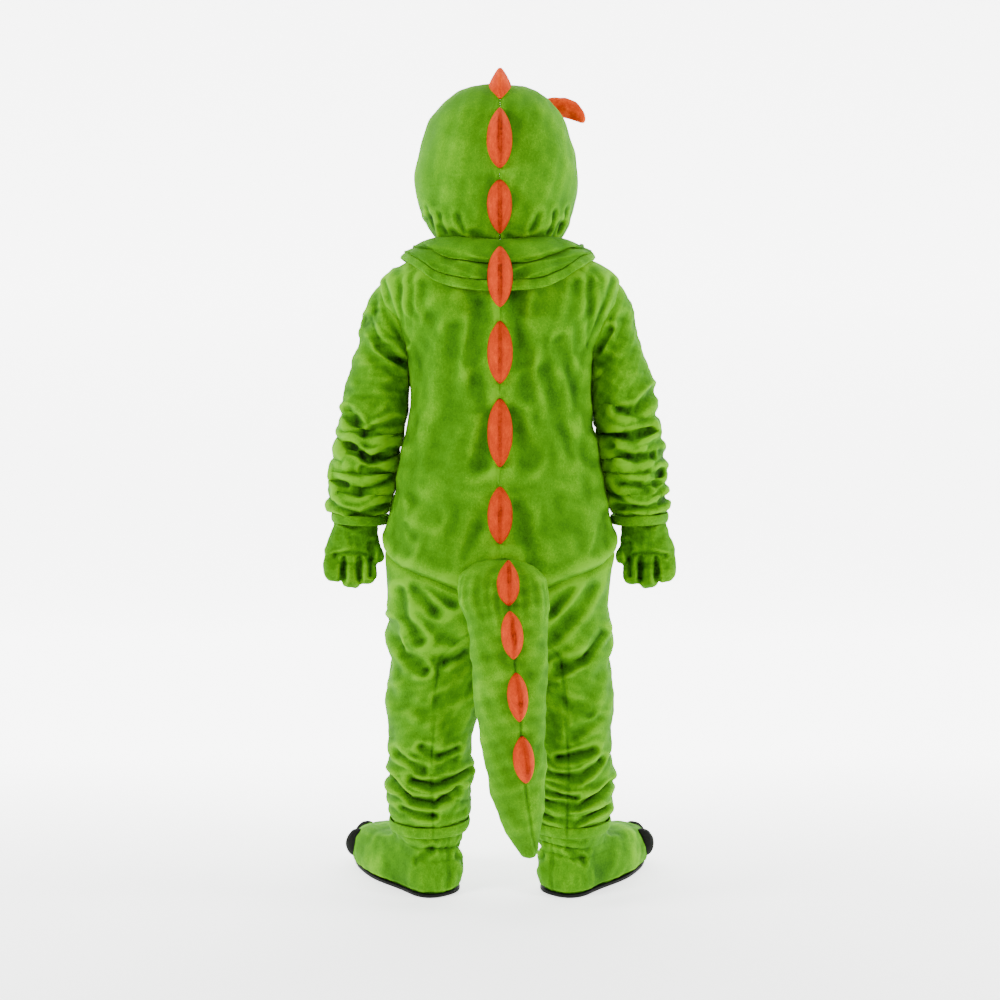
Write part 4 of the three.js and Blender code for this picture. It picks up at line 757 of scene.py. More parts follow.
# A leg: sections from its table that blend into its top edge, with creases, rolls, folds and a seam pushed in.
def legPoints(side):
    around = allRound(leg["columns"])
    share = np.linspace(0, 1, leg["rows"])[:, None]
    top = legTopPoint(around)
    z = leg["low"] + (top[:, 2] - leg["low"]) * share
    middle = along(legTable, "z", z, "middle")
    p = sectionOf(legTable, around[None, :], z, middle, 2)
    blend = smooth((share - 0.72) / 0.28)
    p = p + (radial(top[:, 0], top[:, 1], top[:, 2]) - p) * blend[..., None]
    p[..., 2] = z
    push = creaseDepth(legCreases[side], around[None, :], z, leg["girth"]) * np.where(z < leg["rollEnd"], 0.3, 0.6)
    push = push + rolls(around[None, :] * side, z, leg["rollStart"] - 4, leg["rollEnd"], leg["rollPitch"],
                        leg["rollDepth"], 31 + side)
    traced = foldsRound(p * [side, 1, 1], legFolds[side], legFolds[-side], 24, 1.0, 1.25)
    outer = np.clip(np.cos(np.radians(around)), 0, 1)[None, :]
    traced = traced + leg["slim"][side] * outer * np.exp(-(((z - 690) / 75) ** 2))
    push = push + unevenness(p * [side, 1, 1], 1.8, 80, 41 + side) + unevenness(p, 1.0, 30, 47)
    push = push * (1 - blend) + traced * (1 - smooth((share - 0.93) / 0.07))
    flat = p - radial(middle, 0 * z, z)
    flat = flat / np.maximum(np.linalg.norm(flat, axis=-1, keepdims=True), 1e-6)
    p = p - flat * push[..., None]
    seamAt = 92 + 6 * np.clip((500 - z) / 350, 0, 1)
    off = turned(around[None, :] - seamAt) * leg["girth"] / 360
    p = p - flat * (2.6 * np.exp(-((off / 3.4) ** 2)))[..., None]
    p[..., 0] = np.maximum(p[..., 0], 1.2)
    p[..., 2] = z + leg["tuck"] * smooth((share - 0.985) / 0.015)
    return around, radial(side * p[..., 0], p[..., 1], p[..., 2])


for side, hand in hands:
    around, points = legPoints(side)
    points = sewnSides(points, ("top",), True, side, leg["topDip"], leg["topWidth"])
    points = sewnSides(points, ("bottom",), True, side, 3.6, 6)
    clothPiece(f"leg_{hand}", points, greenPlush, True, side)
    z = np.linspace(leg["low"] - leg["band"], leg["low"] - 0.4, 16)[:, None]
    band = sectionOf(legTable, around[None, :], z, along(legTable, "z", z, "middle"), 2)
    puff = leg["puff"] * np.clip(np.sin(math.pi * (leg["low"] - z) / leg["band"]), 0, 1) ** 0.7
    puff = puff + unevenness(band, 0.8, 34, 51 + side)
    off = turned(around[None, :] - 98) * leg["girth"] / 360
    puff = puff - 2.4 * np.exp(-((off / 3.4) ** 2))
    band = pushed(band, 162, -puff) * [side, 1, 1]
    clothPiece(f"leg_hem_{hand}", band, greenTrim, True, side)
print("legs done")


# Head: level sections of a flattened ball, fuller at the back, with a rounded snout at the front.
head = {"girth": 1150, "fullness": 2.08, "rows": 96, "columns": 78, "low": 1466, "tall": 348, "highest": 1813.9,
        "closed": 1812.5}
headTable = table("z halfWidth back front",
    (1466, 126, 122, 118), (1482, 141, 137, 132), (1510, 157, 154, 160), (1546, 169, 168, 190),
    (1582, 178, 177, 210), (1618, 180, 181, 214), (1654, 174, 179, 204), (1690, 165, 172, 188),
    (1736, 150, 155, 160), (1771, 124, 127, 130), (1790, 102, 104, 106), (1803, 76, 78, 78),
    (1811, 44, 44, 44), (1814, 0, 0, 0))
headCreases = table("around0 at0 around1 at1 depth width",
    (22, 1496, 26, 1536, 5, 9), (38, 1490, 40, 1522, 4, 8), (60, 1490, 58, 1515, 4, 9),
    (118, 1490, 121, 1518, 4, 9), (141, 1490, 138, 1526, 5, 8), (160, 1496, 156, 1534, 5, 9),
    (215, 1490, 218, 1520, 4, 9), (322, 1490, 319, 1522, 4, 9))
headFolds = table("x0 z0 x1 z1 depth width",
    (157, 1519, 143, 1474, 8, 6), (133, 1499, 108, 1469, 6, 7), (107, 1484, 65, 1465, 6, 6),
    (-135, 1507, -114, 1469, 8, 6), (-114, 1490, -86, 1467, 6, 7), (-89, 1480, -44, 1463, 6, 6),
    (61, 1482, 19, 1463, 4, 7), (-17, 1476, -42, 1463, 4, 6))


# The head's wall: its level section, leaning to one side, with the creases pushed in.
def headPoint(around, z):
    p = sectionOf(headTable, around, z, 0, head["fullness"])
    p[..., 0] *= 1 + suit["headLean"] * np.sign(p[..., 0])
    return pushed(p, 0, creaseDepth(headCreases, around, z, head["girth"]))


for side, hand in hands:
    turn = np.linspace(-90, 90, head["columns"])
    around = turn if side > 0 else 180 - turn
    t = np.linspace(0, 1, head["rows"])[:, None]
    z = np.minimum(head["low"] + head["tall"] * np.sin(t * math.pi / 2) ** 1.15, head["highest"])
    points = headPoint(around[None, :], z)
    push = unevenness(points, 1.6, 110, 61) + unevenness(points, 0.8, 40, 62)
    push = push - foldsRound(points, headFolds, headFolds, 6, 0.8, 1.2)
    points = points + gridNormals(points, False, side) * (push * smooth((1 - t) * 12))[..., None]
    points = sewnSides(points, ("first", "last"), False, side, 3.0, 4.5)
    points[..., 0] = np.where(side * points[..., 0] < 0.3, side * 0.01, points[..., 0])
    points[-1] = np.array([side * 0.01, 0, head["closed"]])
    clothPiece(f"head_{hand}", points, greenPlush, False, side, thick=suit["headWall"])
print("head done")


# Cowl: two skirts that hang from the neck of the head, the lower with a turned hem.
cowl = {"columns": 256, "upperBulge": 20, "lowerBulge": 13, "hemBulge": 5.5, "tuck": 2.5, "stray": 2.6}
cowlFolds = table("x0 z0 x1 z1 depth width",
    (148, 1458, 92, 1438, 9, 7), (92, 1438, 21, 1415, 9, 7), (111, 1425, 21, 1388, 7, 7),
    (-152, 1454, -102, 1438, 9, 7), (-102, 1438, -21, 1415, 9, 7), (-169, 1436, -86, 1413, 6, 7),
    (-86, 1413, -21, 1390, 7, 7), (132, 1417, 61, 1390, 4, 7), (-140, 1417, -65, 1390, 4, 7))
cowlTopEdge = table("angle z",
    (0, 1483), (45, 1479), (90, 1470))
cowlMiddleEdge = table("angle z",
    (0, 1467), (30, 1455), (60, 1428), (90, 1412))
cowlHemTop = table("angle z",
    (0, 1454), (20, 1445), (41, 1422), (54, 1402), (69, 1387), (90, 1378))
cowlLowEdge = table("angle z",
    (0, 1438), (20, 1428), (41, 1404), (54, 1382), (69, 1364), (90, 1355))
cowlRings = table("middle halfWidth back front fullness fall",
                  (4, 181, 184, 172, 2.1, 0), (4, 174, 177, 165, 2.1, 0.9), (4, 204, 201, 184, 2.3, 0),
                  (4, 204, 201, 184, 2.3, 0.7), (4, 213, 207, 190, 2.3, 0))


# A ring of the cowl: a section whose edge strays up and down by two sines of the angle.
def cowlRing(i, edge, around):
    middle, halfWidth, back, front, fullness, fall = (cowlRings[k][i] for k in cowlRings)
    a = np.radians(around)
    fall = fall + (cowl["stray"] if i < 2 else 1.2) * (np.sin(7 * a + 0.6) + 0.7 * np.sin(13 * a + 2.1)) / 1.7
    return sectionPoint(middle, halfWidth, back, front, fullness, around, byQuarter(edge, around) - fall)


# A skirt between two edges: it bulges by sin(pi share)^0.6, with gathers that run down it, and sags by
# sag sin(pi share) (1 - share)^0.5, so that its roll hangs over the seam below.
def skirt(top, low, bulge, gather, rows, seed, sag):
    around = allRound(cowl["columns"])
    share = np.linspace(0, 1, rows)[:, None]
    p = low(around)[None] + (top(around) - low(around))[None] * share[..., None]
    a = np.radians(around)[None, :]
    fine = np.sin(19 * a + 2.1 * np.sin(3 * a + seed) + 2.2 * share) * (0.5 + 0.5 * np.sin(4 * a + seed))
    wave = 1.6 * np.sin(7 * a + 1.7 * np.sin(2 * a + seed) + 1.4 * share) + gather * fine
    rise = bulge * np.sin(math.pi * share) ** 0.6 + wave * np.sin(math.pi * share)
    rise = rise + unevenness(p, 1.6, 46, 71 + seed) - foldsRound(p, cowlFolds, cowlFolds, 4, 0.7, 1.3)
    p = pushed(p, suit["cowlMiddle"], -rise)
    p[..., 2] -= sag * np.sin(math.pi * share) * (1 - share) ** 0.5
    return p


# The cowl's top edge lies just inside the head's wall.
def cowlTop(around):
    z = byQuarter(cowlTopEdge, around)
    return pushed(headPoint(around, z), 0, np.full(around.shape, cowl["tuck"]))


upperSkirt = skirt(cowlTop, lambda a: cowlRing(0, cowlMiddleEdge, a), cowl["upperBulge"], 1.4, 26, 1, 9)
lowerSkirt = skirt(lambda a: cowlRing(1, cowlMiddleEdge, a), lambda a: cowlRing(2, cowlHemTop, a),
                   cowl["lowerBulge"], 1.6, 26, 2, 4)
hemSkirt = skirt(lambda a: cowlRing(3, cowlHemTop, a), lambda a: cowlRing(4, cowlLowEdge, a),
                 cowl["hemBulge"], 0.6, 13, 3, 2)
cowlPieces = (
    ("cowl_upper", upperSkirt, greenPlush, "green_plush", (1.2, 0.06)),
    ("cowl_lower", lowerSkirt, greenPlush, "green_plush", (1.25, 0.06)),
    ("cowl_hem", hemSkirt, greenTrim, "green_trim", (1.32, 0.028)),
)
for name, points, material, slotName, flat in cowlPieces:
    clothPiece(name, points, material, True, 1)
print("cowl done")


# Boots: level sections in the foot's own frame, turned out about the ankle. 0 outer side, 90 heel, 270 toes.
boot = {"middle": 162, "girth": 640, "rows": 80, "columns": 126, "low": 7, "high": 180, "soleAt": 12.0}
bootTable = table("z halfWidth back front flare fullness",
    (9, 58, 66, 272, 0.28, 2.5), (20, 66, 73, 284, 0.28, 2.5), (45, 69, 76, 287, 0.28, 2.5),
    (72, 67, 74, 277, 0.25, 2.5), (92, 65, 72, 250, 0.2, 2.4), (106, 66, 72, 190, 0.12, 2.3),
    (118, 71, 74, 124, 0.05, 2.15), (132, 78, 78, 91, 0, 2), (144, 82.8, 82.8, 82.8, 0, 2),
    (180, 82.8, 82.8, 82.8, 0, 2))
bootCreases = table("around0 at0 around1 at1 depth width",
    (120, 112, 160, 84, 5, 9), (60, 114, 20, 86, 5, 9), (110, 88, 140, 60, 4, 10),
    (220, 120, 320, 118, 5, 8))


# A boot's wall: a section in the foot's frame, flared at the toes, with wrinkles at the ankle, turned out by toeTurn.
def bootPoint(side, around, z, plain=False):
    around, z = np.broadcast_arrays(np.asarray(around, float), np.asarray(z, float))
    zc = np.clip(z, 9, 180)
    p = sectionOf(bootTable, around, z, 0, along(bootTable, "z", zc, "fullness"))
    p[..., 0] *= 1 + along(bootTable, "z", zc, "flare") * smooth(-p[..., 1] / 150)
    push = creaseDepth(bootCreases, around, z, boot["girth"])
    if not plain:
        ankle = 0.12 + 0.88 * np.clip(np.cos(np.radians(around - 90)) + 0.25, 0, 1)
        wrinkle = rolls(around * side + 30, z, 66, 152, 25, 8, 81 + side) * ankle
        push = push + wrinkle + 2.6 * np.exp(-((turned(around - 90) * 1.4 / 3.2) ** 2))
    p = pushed(p, 0, push)
    c, s = math.cos(math.radians(suit["toeTurn"])), math.sin(math.radians(suit["toeTurn"]))
    x, y = p[..., 0], p[..., 1]
    return radial(side * (boot["middle"] + x * c - y * s), x * s + y * c, z)


# A closed skin through rings, with each end filled by smaller copies of its ring.
def ringFill(name, rings, material, node, facing):
    low, high = rings[0].mean(0), rings[-1].mean(0)
    shrunk = lambda ring, middle, f: middle + (ring - middle) * f
    layers = [shrunk(rings[0], low, f) for f in (0.001, 0.5, 0.9)] + list(rings)
    layers += [shrunk(rings[-1], high, f) for f in (0.9, 0.5, 0.001)]
    return addPiece(name, gridMesh(name, np.array(layers), True, facing), material, node)


for side, hand in hands:
    around = allRound(boot["columns"])
    z = (boot["low"] + (boot["high"] - boot["low"]) * np.linspace(0, 1, boot["rows"]) ** 1.05)[:, None]
    points = bootPoint(side, around[None, :], z)
    push = unevenness(points, 1.4, 70, 91) + unevenness(points, 0.8, 26, 92)
    points = points + gridNormals(points, True, side) * push[..., None]
    low = 3.5 * np.exp(-(((z - 9) / 5) ** 2))
    points = points - gridNormals(points, True, side) * low[..., None]
    clothPiece(f"boot_{hand}", points, greenPlush, True, side)
    base = bootPoint(side, around, boot["soleAt"], True)
    outward = gridNormals(np.array([base, base + [0, 0, 1]]), True, side)[0]
    rings = [base + outward * grown + [0, 0, height - boot["soleAt"]] for height, grown in
             ((0.0, -4.0), (1.0, 0.4), (3.5, 1.8), (7.6, 1.8), (8.7, 0.6))]
    ringFill(f"sole_{hand}", np.array(rings), blackRubber, f"sole_{hand}", side)
print("boots done")


# A stuffed pad on a surface, widest between its ends. Its back is crown = (1 - |w|^sharp)(1 - s^2)^0.7 high, with a
# seam sunk along it, over a base a little below the surface it sits on.
def padMesh(name, surface, facing, around0, at0, around1, at1, halfWidth, height, sharp, blunt, girth, sunk,
            seamDepth, rows, columns, wrinkle, seed):
    perDegree = girth / 360
    run, rise = (around1 - around0) * perDegree, at1 - at0
    length = math.hypot(run, rise)
    t = np.linspace(0, 1, rows)[:, None]
    s = 2 * t - 1
    w = np.linspace(-1, 1, columns)[None, :]
    w = np.sign(w) * np.abs(w) ** 0.9
    taper = np.clip(1 - np.abs(s) ** 2.2, 0, 1) ** blunt
    off = w * halfWidth * taper
    u = around0 + (around1 - around0) * t - off * rise / length / perDegree
    v = at0 + (at1 - at0) * t + off * run / length
    step = 0.4
    here = surface(u, v)
    du = surface(u + step, v) - surface(u - step, v)
    dv = surface(u, v + step) - surface(u, v - step)
    normal = np.cross(du, dv) * facing
    normal /= np.maximum(np.linalg.norm(normal, axis=-1, keepdims=True), 1e-9)
    side = np.clip(1 - np.abs(w) ** sharp, 0, 1)
    crown = side * np.clip(1 - s * s, 0, 1) ** 0.7
    soft = unevenness(here, wrinkle, 24, seed) * np.clip(1 - np.abs(w) ** 2, 0, 1) * taper
    groove = seamDepth * np.exp(-((off / 1.8) ** 2)) * np.clip(1 - s * s, 0, 1) ** 0.3
    top = here + normal * (0.8 + height * crown + soft * side ** 0.5 - groove * side)[..., None]
    base = here - normal * sunk
    points = np.concatenate([top, base[:, ::-1]], 1)
    return gridMesh(name, points, True, facing * (1 if rise >= 0 else -1))


# A stuffed piece: its skin added as a piece of the scene.
def addPad(name, mesh, material):
    piece = addPiece(name, mesh, material, name)
    return piece


claws = table("around halfWidth", (238, 17), (270, 19), (302, 17))
claw = {"at0": 22, "at1": 92, "height": 15, "sharp": 1.8, "blunt": 0.6, "girth": 520}
for side, hand in hands:
    for i in range(3):
        place = claws["around"][i]
        mesh = padMesh(f"claw_{hand}_{i + 1}", lambda u, v: bootPoint(side, u, v, True), side,
                       place, claw["at0"], place, claw["at1"], claws["halfWidth"][i], claw["height"],
                       claw["sharp"], claw["blunt"], claw["girth"], 3.0, 0.8, 40, 27, 0.6, 3 + i)
        addPad(f"claw_{hand}_{i + 1}", mesh, darkFelt)

# Tail: level sections from the seat down, a stuffed cone that bends to the wearer's right.
tail = {"rows": 160, "columns": 108, "gap": 0.8, "low": 139, "tall": 653, "lowest": 139.2, "highest": 791.8}
tailTable = table("z x y halfWidth depth",
    (139, -64, 200, 4, 4), (146, -62, 202, 16, 15), (180, -55, 206, 31, 27), (226, -47, 212, 45, 40),
    (341, -33, 222, 65, 58), (429, -27, 226, 73, 64), (537, -20, 226, 80, 70), (664, -13, 218, 88, 72),
    (715, -7, 208, 97, 66), (748, -6, 198, 92, 56), (774, -6, 188, 70, 40), (788, -6, 181, 36, 22),
    (792, -6, 178, 8, 6))


# The tail's wall: an ellipse at each height, by the cosine and sine of the angle.
def tailPoint(around, z):
    x, y, halfWidth, depth = (along(tailTable, "z", z, c) for c in ("x", "y", "halfWidth", "depth"))
    a = np.radians(around)
    return radial(x + halfWidth * np.cos(a), y + depth * np.sin(a), z)


# How far back the suit reaches at a place of its back: the torso above the seat, the legs below it.
def suitBack(x, z):
    halfWidth, back = along(torsoTable, "z", z, "halfWidth"), along(torsoTable, "z", z, "back")
    seat = back * np.clip(1 - np.abs(x / halfWidth) ** torso["fullness"], 0, 1) ** (1 / torso["fullness"])
    middle = along(legTable, "z", z, "middle")
    half, deep = along(legTable, "z", z, "halfWidth"), along(legTable, "z", z, "back")
    thigh = deep * np.sqrt(np.clip(1 - ((np.abs(x) - middle) / half) ** 2, 0, 1))
    blend = smooth((z - 560) / 130)
    return np.where(z > 700, seat, thigh + (seat - thigh) * blend)


turn = allRound(tail["columns"])
z = (tail["low"] + tail["tall"] * (0.5 - 0.5 * np.cos(math.pi * np.linspace(0, 1, tail["rows"]))))[:, None]
z = np.clip(z, tail["lowest"], tail["highest"])
points = tailPoint(turn[None, :], z)
a = np.radians(turn)[None, :]
arch = smooth((z - 640) / 150)
pleats = 1.8 * np.sin(26 * a + 2 * np.sin(4 * a)) * arch * (1 - arch) * 2
push = unevenness(points, 3.0, 130, 101) + unevenness(points, 1.3, 44, 102) + pleats
seamAside = np.interp(z, (326, 745), (-19, -11))
off = along(tailTable, "z", z, "halfWidth") * np.cos(a) - seamAside
push = push - np.where(np.sin(a) > 0, 3.4 * np.exp(-((off / 3.6) ** 2)), 0)
slack = np.clip(along(tailTable, "z", z, "halfWidth") / 40, 0, 1)
points = points + gridNormals(points, True, 1) * (push * slack)[..., None]
points[..., 1] = np.maximum(points[..., 1], suitBack(points[..., 0], points[..., 2]) + tail["gap"])
mesh = ringFill("tail", points, tailPlush, "tail", 1)
print("tail done")

# Spikes down the middle of the back: on the head, over the cowl, on the torso and on the tail.
spike = {"sharp": 1.2, "blunt": 0.74, "seam": 3.2, "rows": 72, "columns": 37, "wrinkle": 0.9, "fill": 0.9}
bridgeTable = table("z y",
    (1316, 203), (1356, 211), (1385, 206), (1412, 201), (1445, 201), (1466, 188))


# The head's top over a place in plan: the height, found by halving, at which the place lies on the level section.
def crownPoint(fromMiddle, y):
    fromMiddle, y = np.broadcast_arrays(np.asarray(fromMiddle, float), np.asarray(y, float))
    low, high = np.full(y.shape, 1618.0), np.full(y.shape, 1814.0)
    for step in range(30):
        z = (low + high) / 2
        halfWidth, back, front = (along(headTable, "z", z, c) for c in ("halfWidth", "back", "front"))
        half = halfWidth * (1 + suit["headLean"] * np.sign(fromMiddle))
        reach = np.abs(fromMiddle / np.maximum(half, 1e-6)) ** head["fullness"]
        reach = reach + np.abs(y / np.maximum(np.where(y > 0, back, front), 1e-6)) ** head["fullness"]
        low, high = np.where(reach < 1, z, low), np.where(reach < 1, high, z)
    return radial(fromMiddle, y, low)


# The torso's back and the tail's by a distance from the middle, in plan.
def torsoBack(x, z):
    halfWidth = along(torsoTable, "z", z, "halfWidth")
    turn = np.degrees(np.arccos(np.clip(np.abs(x) / halfWidth, 0, 1) ** (torso["fullness"] / 2)))
    return torsoPoint(np.where(x < 0, 180 - turn, turn), z)


def tailBack(x, z):
    return tailPoint(np.degrees(np.arccos(np.clip(x / along(tailTable, "z", z, "halfWidth"), -1, 1))), z)


# A round ridge between the head and the torso: y falls as (1 - (x / 215)^2)^0.5.
def bridgePoint(x, z):
    y = along(bridgeTable, "z", z, "y")
    return radial(x, y * np.sqrt(1 - (x / 215) ** 2), z)


spikes = (
    ("spike_01", crownPoint, 1, 0, 134, 26, 24, 37, 360, 2),
    ("spike_02", headPoint, 1, 90, 1612, 1740, 27, 42, 1150, 2),
    ("spike_03", headPoint, 1, 90, 1482, 1590, 27, 42, 1150, 2),
    ("spike_04", bridgePoint, -1, 0, 1323, 1450, 27, 42, 360, 11),
    ("spike_05", torsoBack, -1, 0, 1163, 1296, 27, 42, 360, 4),
    ("spike_06", torsoBack, -1, 0, 985, 1133, 27, 42, 360, 4),
    ("spike_07", torsoBack, -1, 0, 822, 945, 27, 42, 360, 4),
    ("spike_08", tailBack, -1, -11, 704, 786, 24, 42, 360, 4),
    ("spike_09", tailBack, -1, -11, 594, 694, 23, 42, 360, 3),
    ("spike_10", tailBack, -1, -15, 461, 567, 22, 42, 360, 3),
    ("spike_11", tailBack, -1, -19, 326, 431, 22, 42, 360, 3),
)
for i, (name, surface, facing, around, at0, at1, halfWidth, height, girth, sunk) in enumerate(spikes):
    mesh = padMesh(name, surface, facing, around, at0, around, at1, halfWidth, height, spike["sharp"], spike["blunt"],
                   girth, sunk, spike["seam"], spike["rows"], spike["columns"], spike["wrinkle"], 20 + i)
    addPad(name, mesh, orangePlush)


# A bend from start to tip: (1 - t)^2 start + 2 t (1 - t) bend + t^2 tip.
def bentLine(start, bend, tip, t):
    return (1 - t) ** 2 * start + 2 * t * (1 - t) * bend + t**2 * tip


# Two unit directions across a curve: the cross product of y and the way ahead, and of the way ahead and that one.
def acrossCurve(centre):
    ahead = np.gradient(centre, axis=0)
    ahead /= np.linalg.norm(ahead, axis=1, keepdims=True)
    e1 = np.cross([0, 1, 0], ahead)
    e1 /= np.linalg.norm(e1, axis=1, keepdims=True)
    return e1, np.cross(ahead, e1)


# Horn: a bent cone along start, bend and tip, with its radius at shares of its length.
horn = {"start": (-84, -78, 1762), "bend": (-150, -86, 1808), "tip": (-190, -80, 1748), "radius": 24}
hornStations = table("t r", (0, 1), (0.35, 0.98), (0.6, 0.9), (0.8, 0.72), (0.93, 0.45), (0.985, 0.2), (1, 0.05))
fine = np.linspace(0, 1, 400)[:, None]
start, bend, tip = (np.array(horn[k], float) for k in ("start", "bend", "tip"))
curve = bentLine(start, bend, tip, fine)
run = np.concatenate([[0], np.cumsum(np.linalg.norm(np.diff(curve, axis=0), axis=1))])
t = np.linspace(0, 1, 64)
centre = np.stack([np.interp(t * run[-1], run, curve[:, k]) for k in range(3)], -1)
e1, e2 = acrossCurve(centre)
turn = allRound(64)
size = horn["radius"] * along(hornStations, "t", t, "r")[:, None]
for seamAt in (180, 0):
    size = size - 2.2 * np.exp(-((turned(turn[None, :] - seamAt) / 8) ** 2))
a = np.radians(turn)[None, :, None]
points = centre[:, None] + e1[:, None] * size[..., None] * np.cos(a) + e2[:, None] * size[..., None] * np.sin(a)
points = points + gridNormals(points, True, 1) * unevenness(points, 1.0, 26, 121)[..., None]
ringFill("horn", points, orangePlush, "horn", 1)

# Face, kept plain: two domed eyes and a mouth with a mesh to see through.
for side, hand in hands:
    around = 312 if side > 0 else 228
    mesh = padMesh(f"eye_{hand}", headPoint, 1, around, 1606, around, 1676, 35, 22, 2, 0.5, 1150, 2, 0, 44, 37, 0, 1)
    addPad(f"eye_{hand}", mesh, eyeVinyl)
mesh = padMesh("mouth_mesh", headPoint, 1, 238, 1553, 302, 1553, 16, 3, 4, 0.5, 1150, 1, 0, 90, 21, 0, 1)
addPiece("mouth_mesh", mesh, meshCloth, "mouth_mesh")
print("pads done")

# Front zip: a tape with two rows of teeth, closed up to the neck.
zipSize = {"half": 4.0, "pitch": 4.2, "tooth": 1.5, "rows": 200}
share = np.linspace(0.003, 0.995, zipSize["rows"])
low = along(seatSeam, "angle", 90, "z")
z = low + (torso["top"] - low) * share
halfWidth = along(torsoTable, "z", z, "halfWidth")
edge = np.degrees(np.arccos((zipSize["half"] / halfWidth) ** (torso["fullness"] / 2)))
u = np.linspace(-1, 1, 9)[None, :]
around = -90 + u * (90 - edge)[:, None]
points = torsoPoint(around, z[:, None])
points[..., 1] += 0.6 - 0.5 * (1 - u * u)
clothPiece("front_zip", points, zipCloth, False, 1, thick=1.6)
teethAt = np.arange(low + 6, torso["top"] - 6, zipSize["pitch"])
front = torsoPoint(-90, teethAt)
corner = np.array([[x, y, h] for x in (-1, 1) for y in (-1, 1) for h in (-1, 1)], float)
faces = np.array([[0, 1, 3, 2], [4, 6, 7, 5], [0, 4, 5, 1], [2, 3, 7, 6], [0, 2, 6, 4], [1, 5, 7, 3]])
boxes, quads = [], []
for k, offX in enumerate((-1.1, 1.1)):
    centreAt = front + [offX, -0.9, k * zipSize["pitch"] / 2]
    verts = centreAt[:, None] + corner[None] * [1.6, 0.9, zipSize["tooth"] / 2]
    quads.append(faces[None] + (np.arange(len(front)) * 8)[:, None, None] + k * len(front) * 8)
    boxes.append(verts.reshape(-1, 3))
place = np.concatenate(boxes) / 1000 - [0, 0, suit["shoulder"] / 1000]
teeth = bpy.data.meshes.new("zip_teeth")
teeth.from_pydata(place.tolist(), [], np.concatenate(quads).reshape(-1, 4).tolist())
addPiece("zip_teeth", teeth, toothMetal, None, weld=False)
teeth.polygons.foreach_set("use_smooth", np.zeros(len(teeth.polygons), bool))
print("zip done")

# Gloves: a palm, three fingers and a thumb round one hollow, cut in two at a seam that bends with the fingers.
glove = {"cell": 2.9, "wrist": 889, "dip": 2.8, "dipWidth": 3.4, "smooth": 2, "slim": 0.95, "spread": 0.16}
palmTable = table("z x halfWidth depth y",
    (893, 317, 44, 41, 0), (848, 324, 50.2, 44, 0), (815, 331, 54, 42, 2), (785, 335, 54, 38, 4),
    (765, 336, 47, 31, 5), (753, 336, 30, 18, 6))
fingers = table("x0 z0 x1 z1 x2 y2 z2 radius",
    (358, 800, 371, 760, 366, 36, 722, 24), (335, 795, 336, 752, 332, 40, 708, 24),
    (312, 798, 308, 756, 304, 34, 714, 22), (306, 822, 290, 792, 285, 12, 756, 18))
gloveFolds = table("x0 z0 x1 z1 depth width",
    (371, 778, 333, 786, 5, 6), (333, 786, 291, 778, 5, 6), (350, 774, 351, 726, 6, 6),
    (314, 774, 313, 726, 6, 6), (287, 804, 289, 735, 6, 6), (368, 859, 328, 845, 3, 6),
    (328, 845, 283, 863, 3, 6))
gloveSeam = table("z y", (650, 62), (735, 20), (770, 5), (820, 2), (950, 0))
fingerStations = table("t r", (0, 0.85), (0.5, 1), (0.84, 0.92), (0.95, 0.7), (1, 0.3))
palmRings = {k: v[::-1] for k, v in palmTable.items()}


# Rings round a curve: centre + radius (e1 cos + e2 sin).
def tubeRings(centre, radius, count):
    e1, e2 = acrossCurve(centre)
    a = np.radians(allRound(count))[None, :, None]
    return centre[:, None] + (e1[:, None] * np.cos(a) + e2[:, None] * np.sin(a)) * radius[:, None, None]


# Rings closed at both ends by a tiny copy of the end ring.
def closedRings(rings):
    low, high = rings[0].mean(0), rings[-1].mean(0)
    return np.concatenate([[low + (rings[0] - low) * 0.001], rings, [high + (rings[-1] - high) * 0.001]])


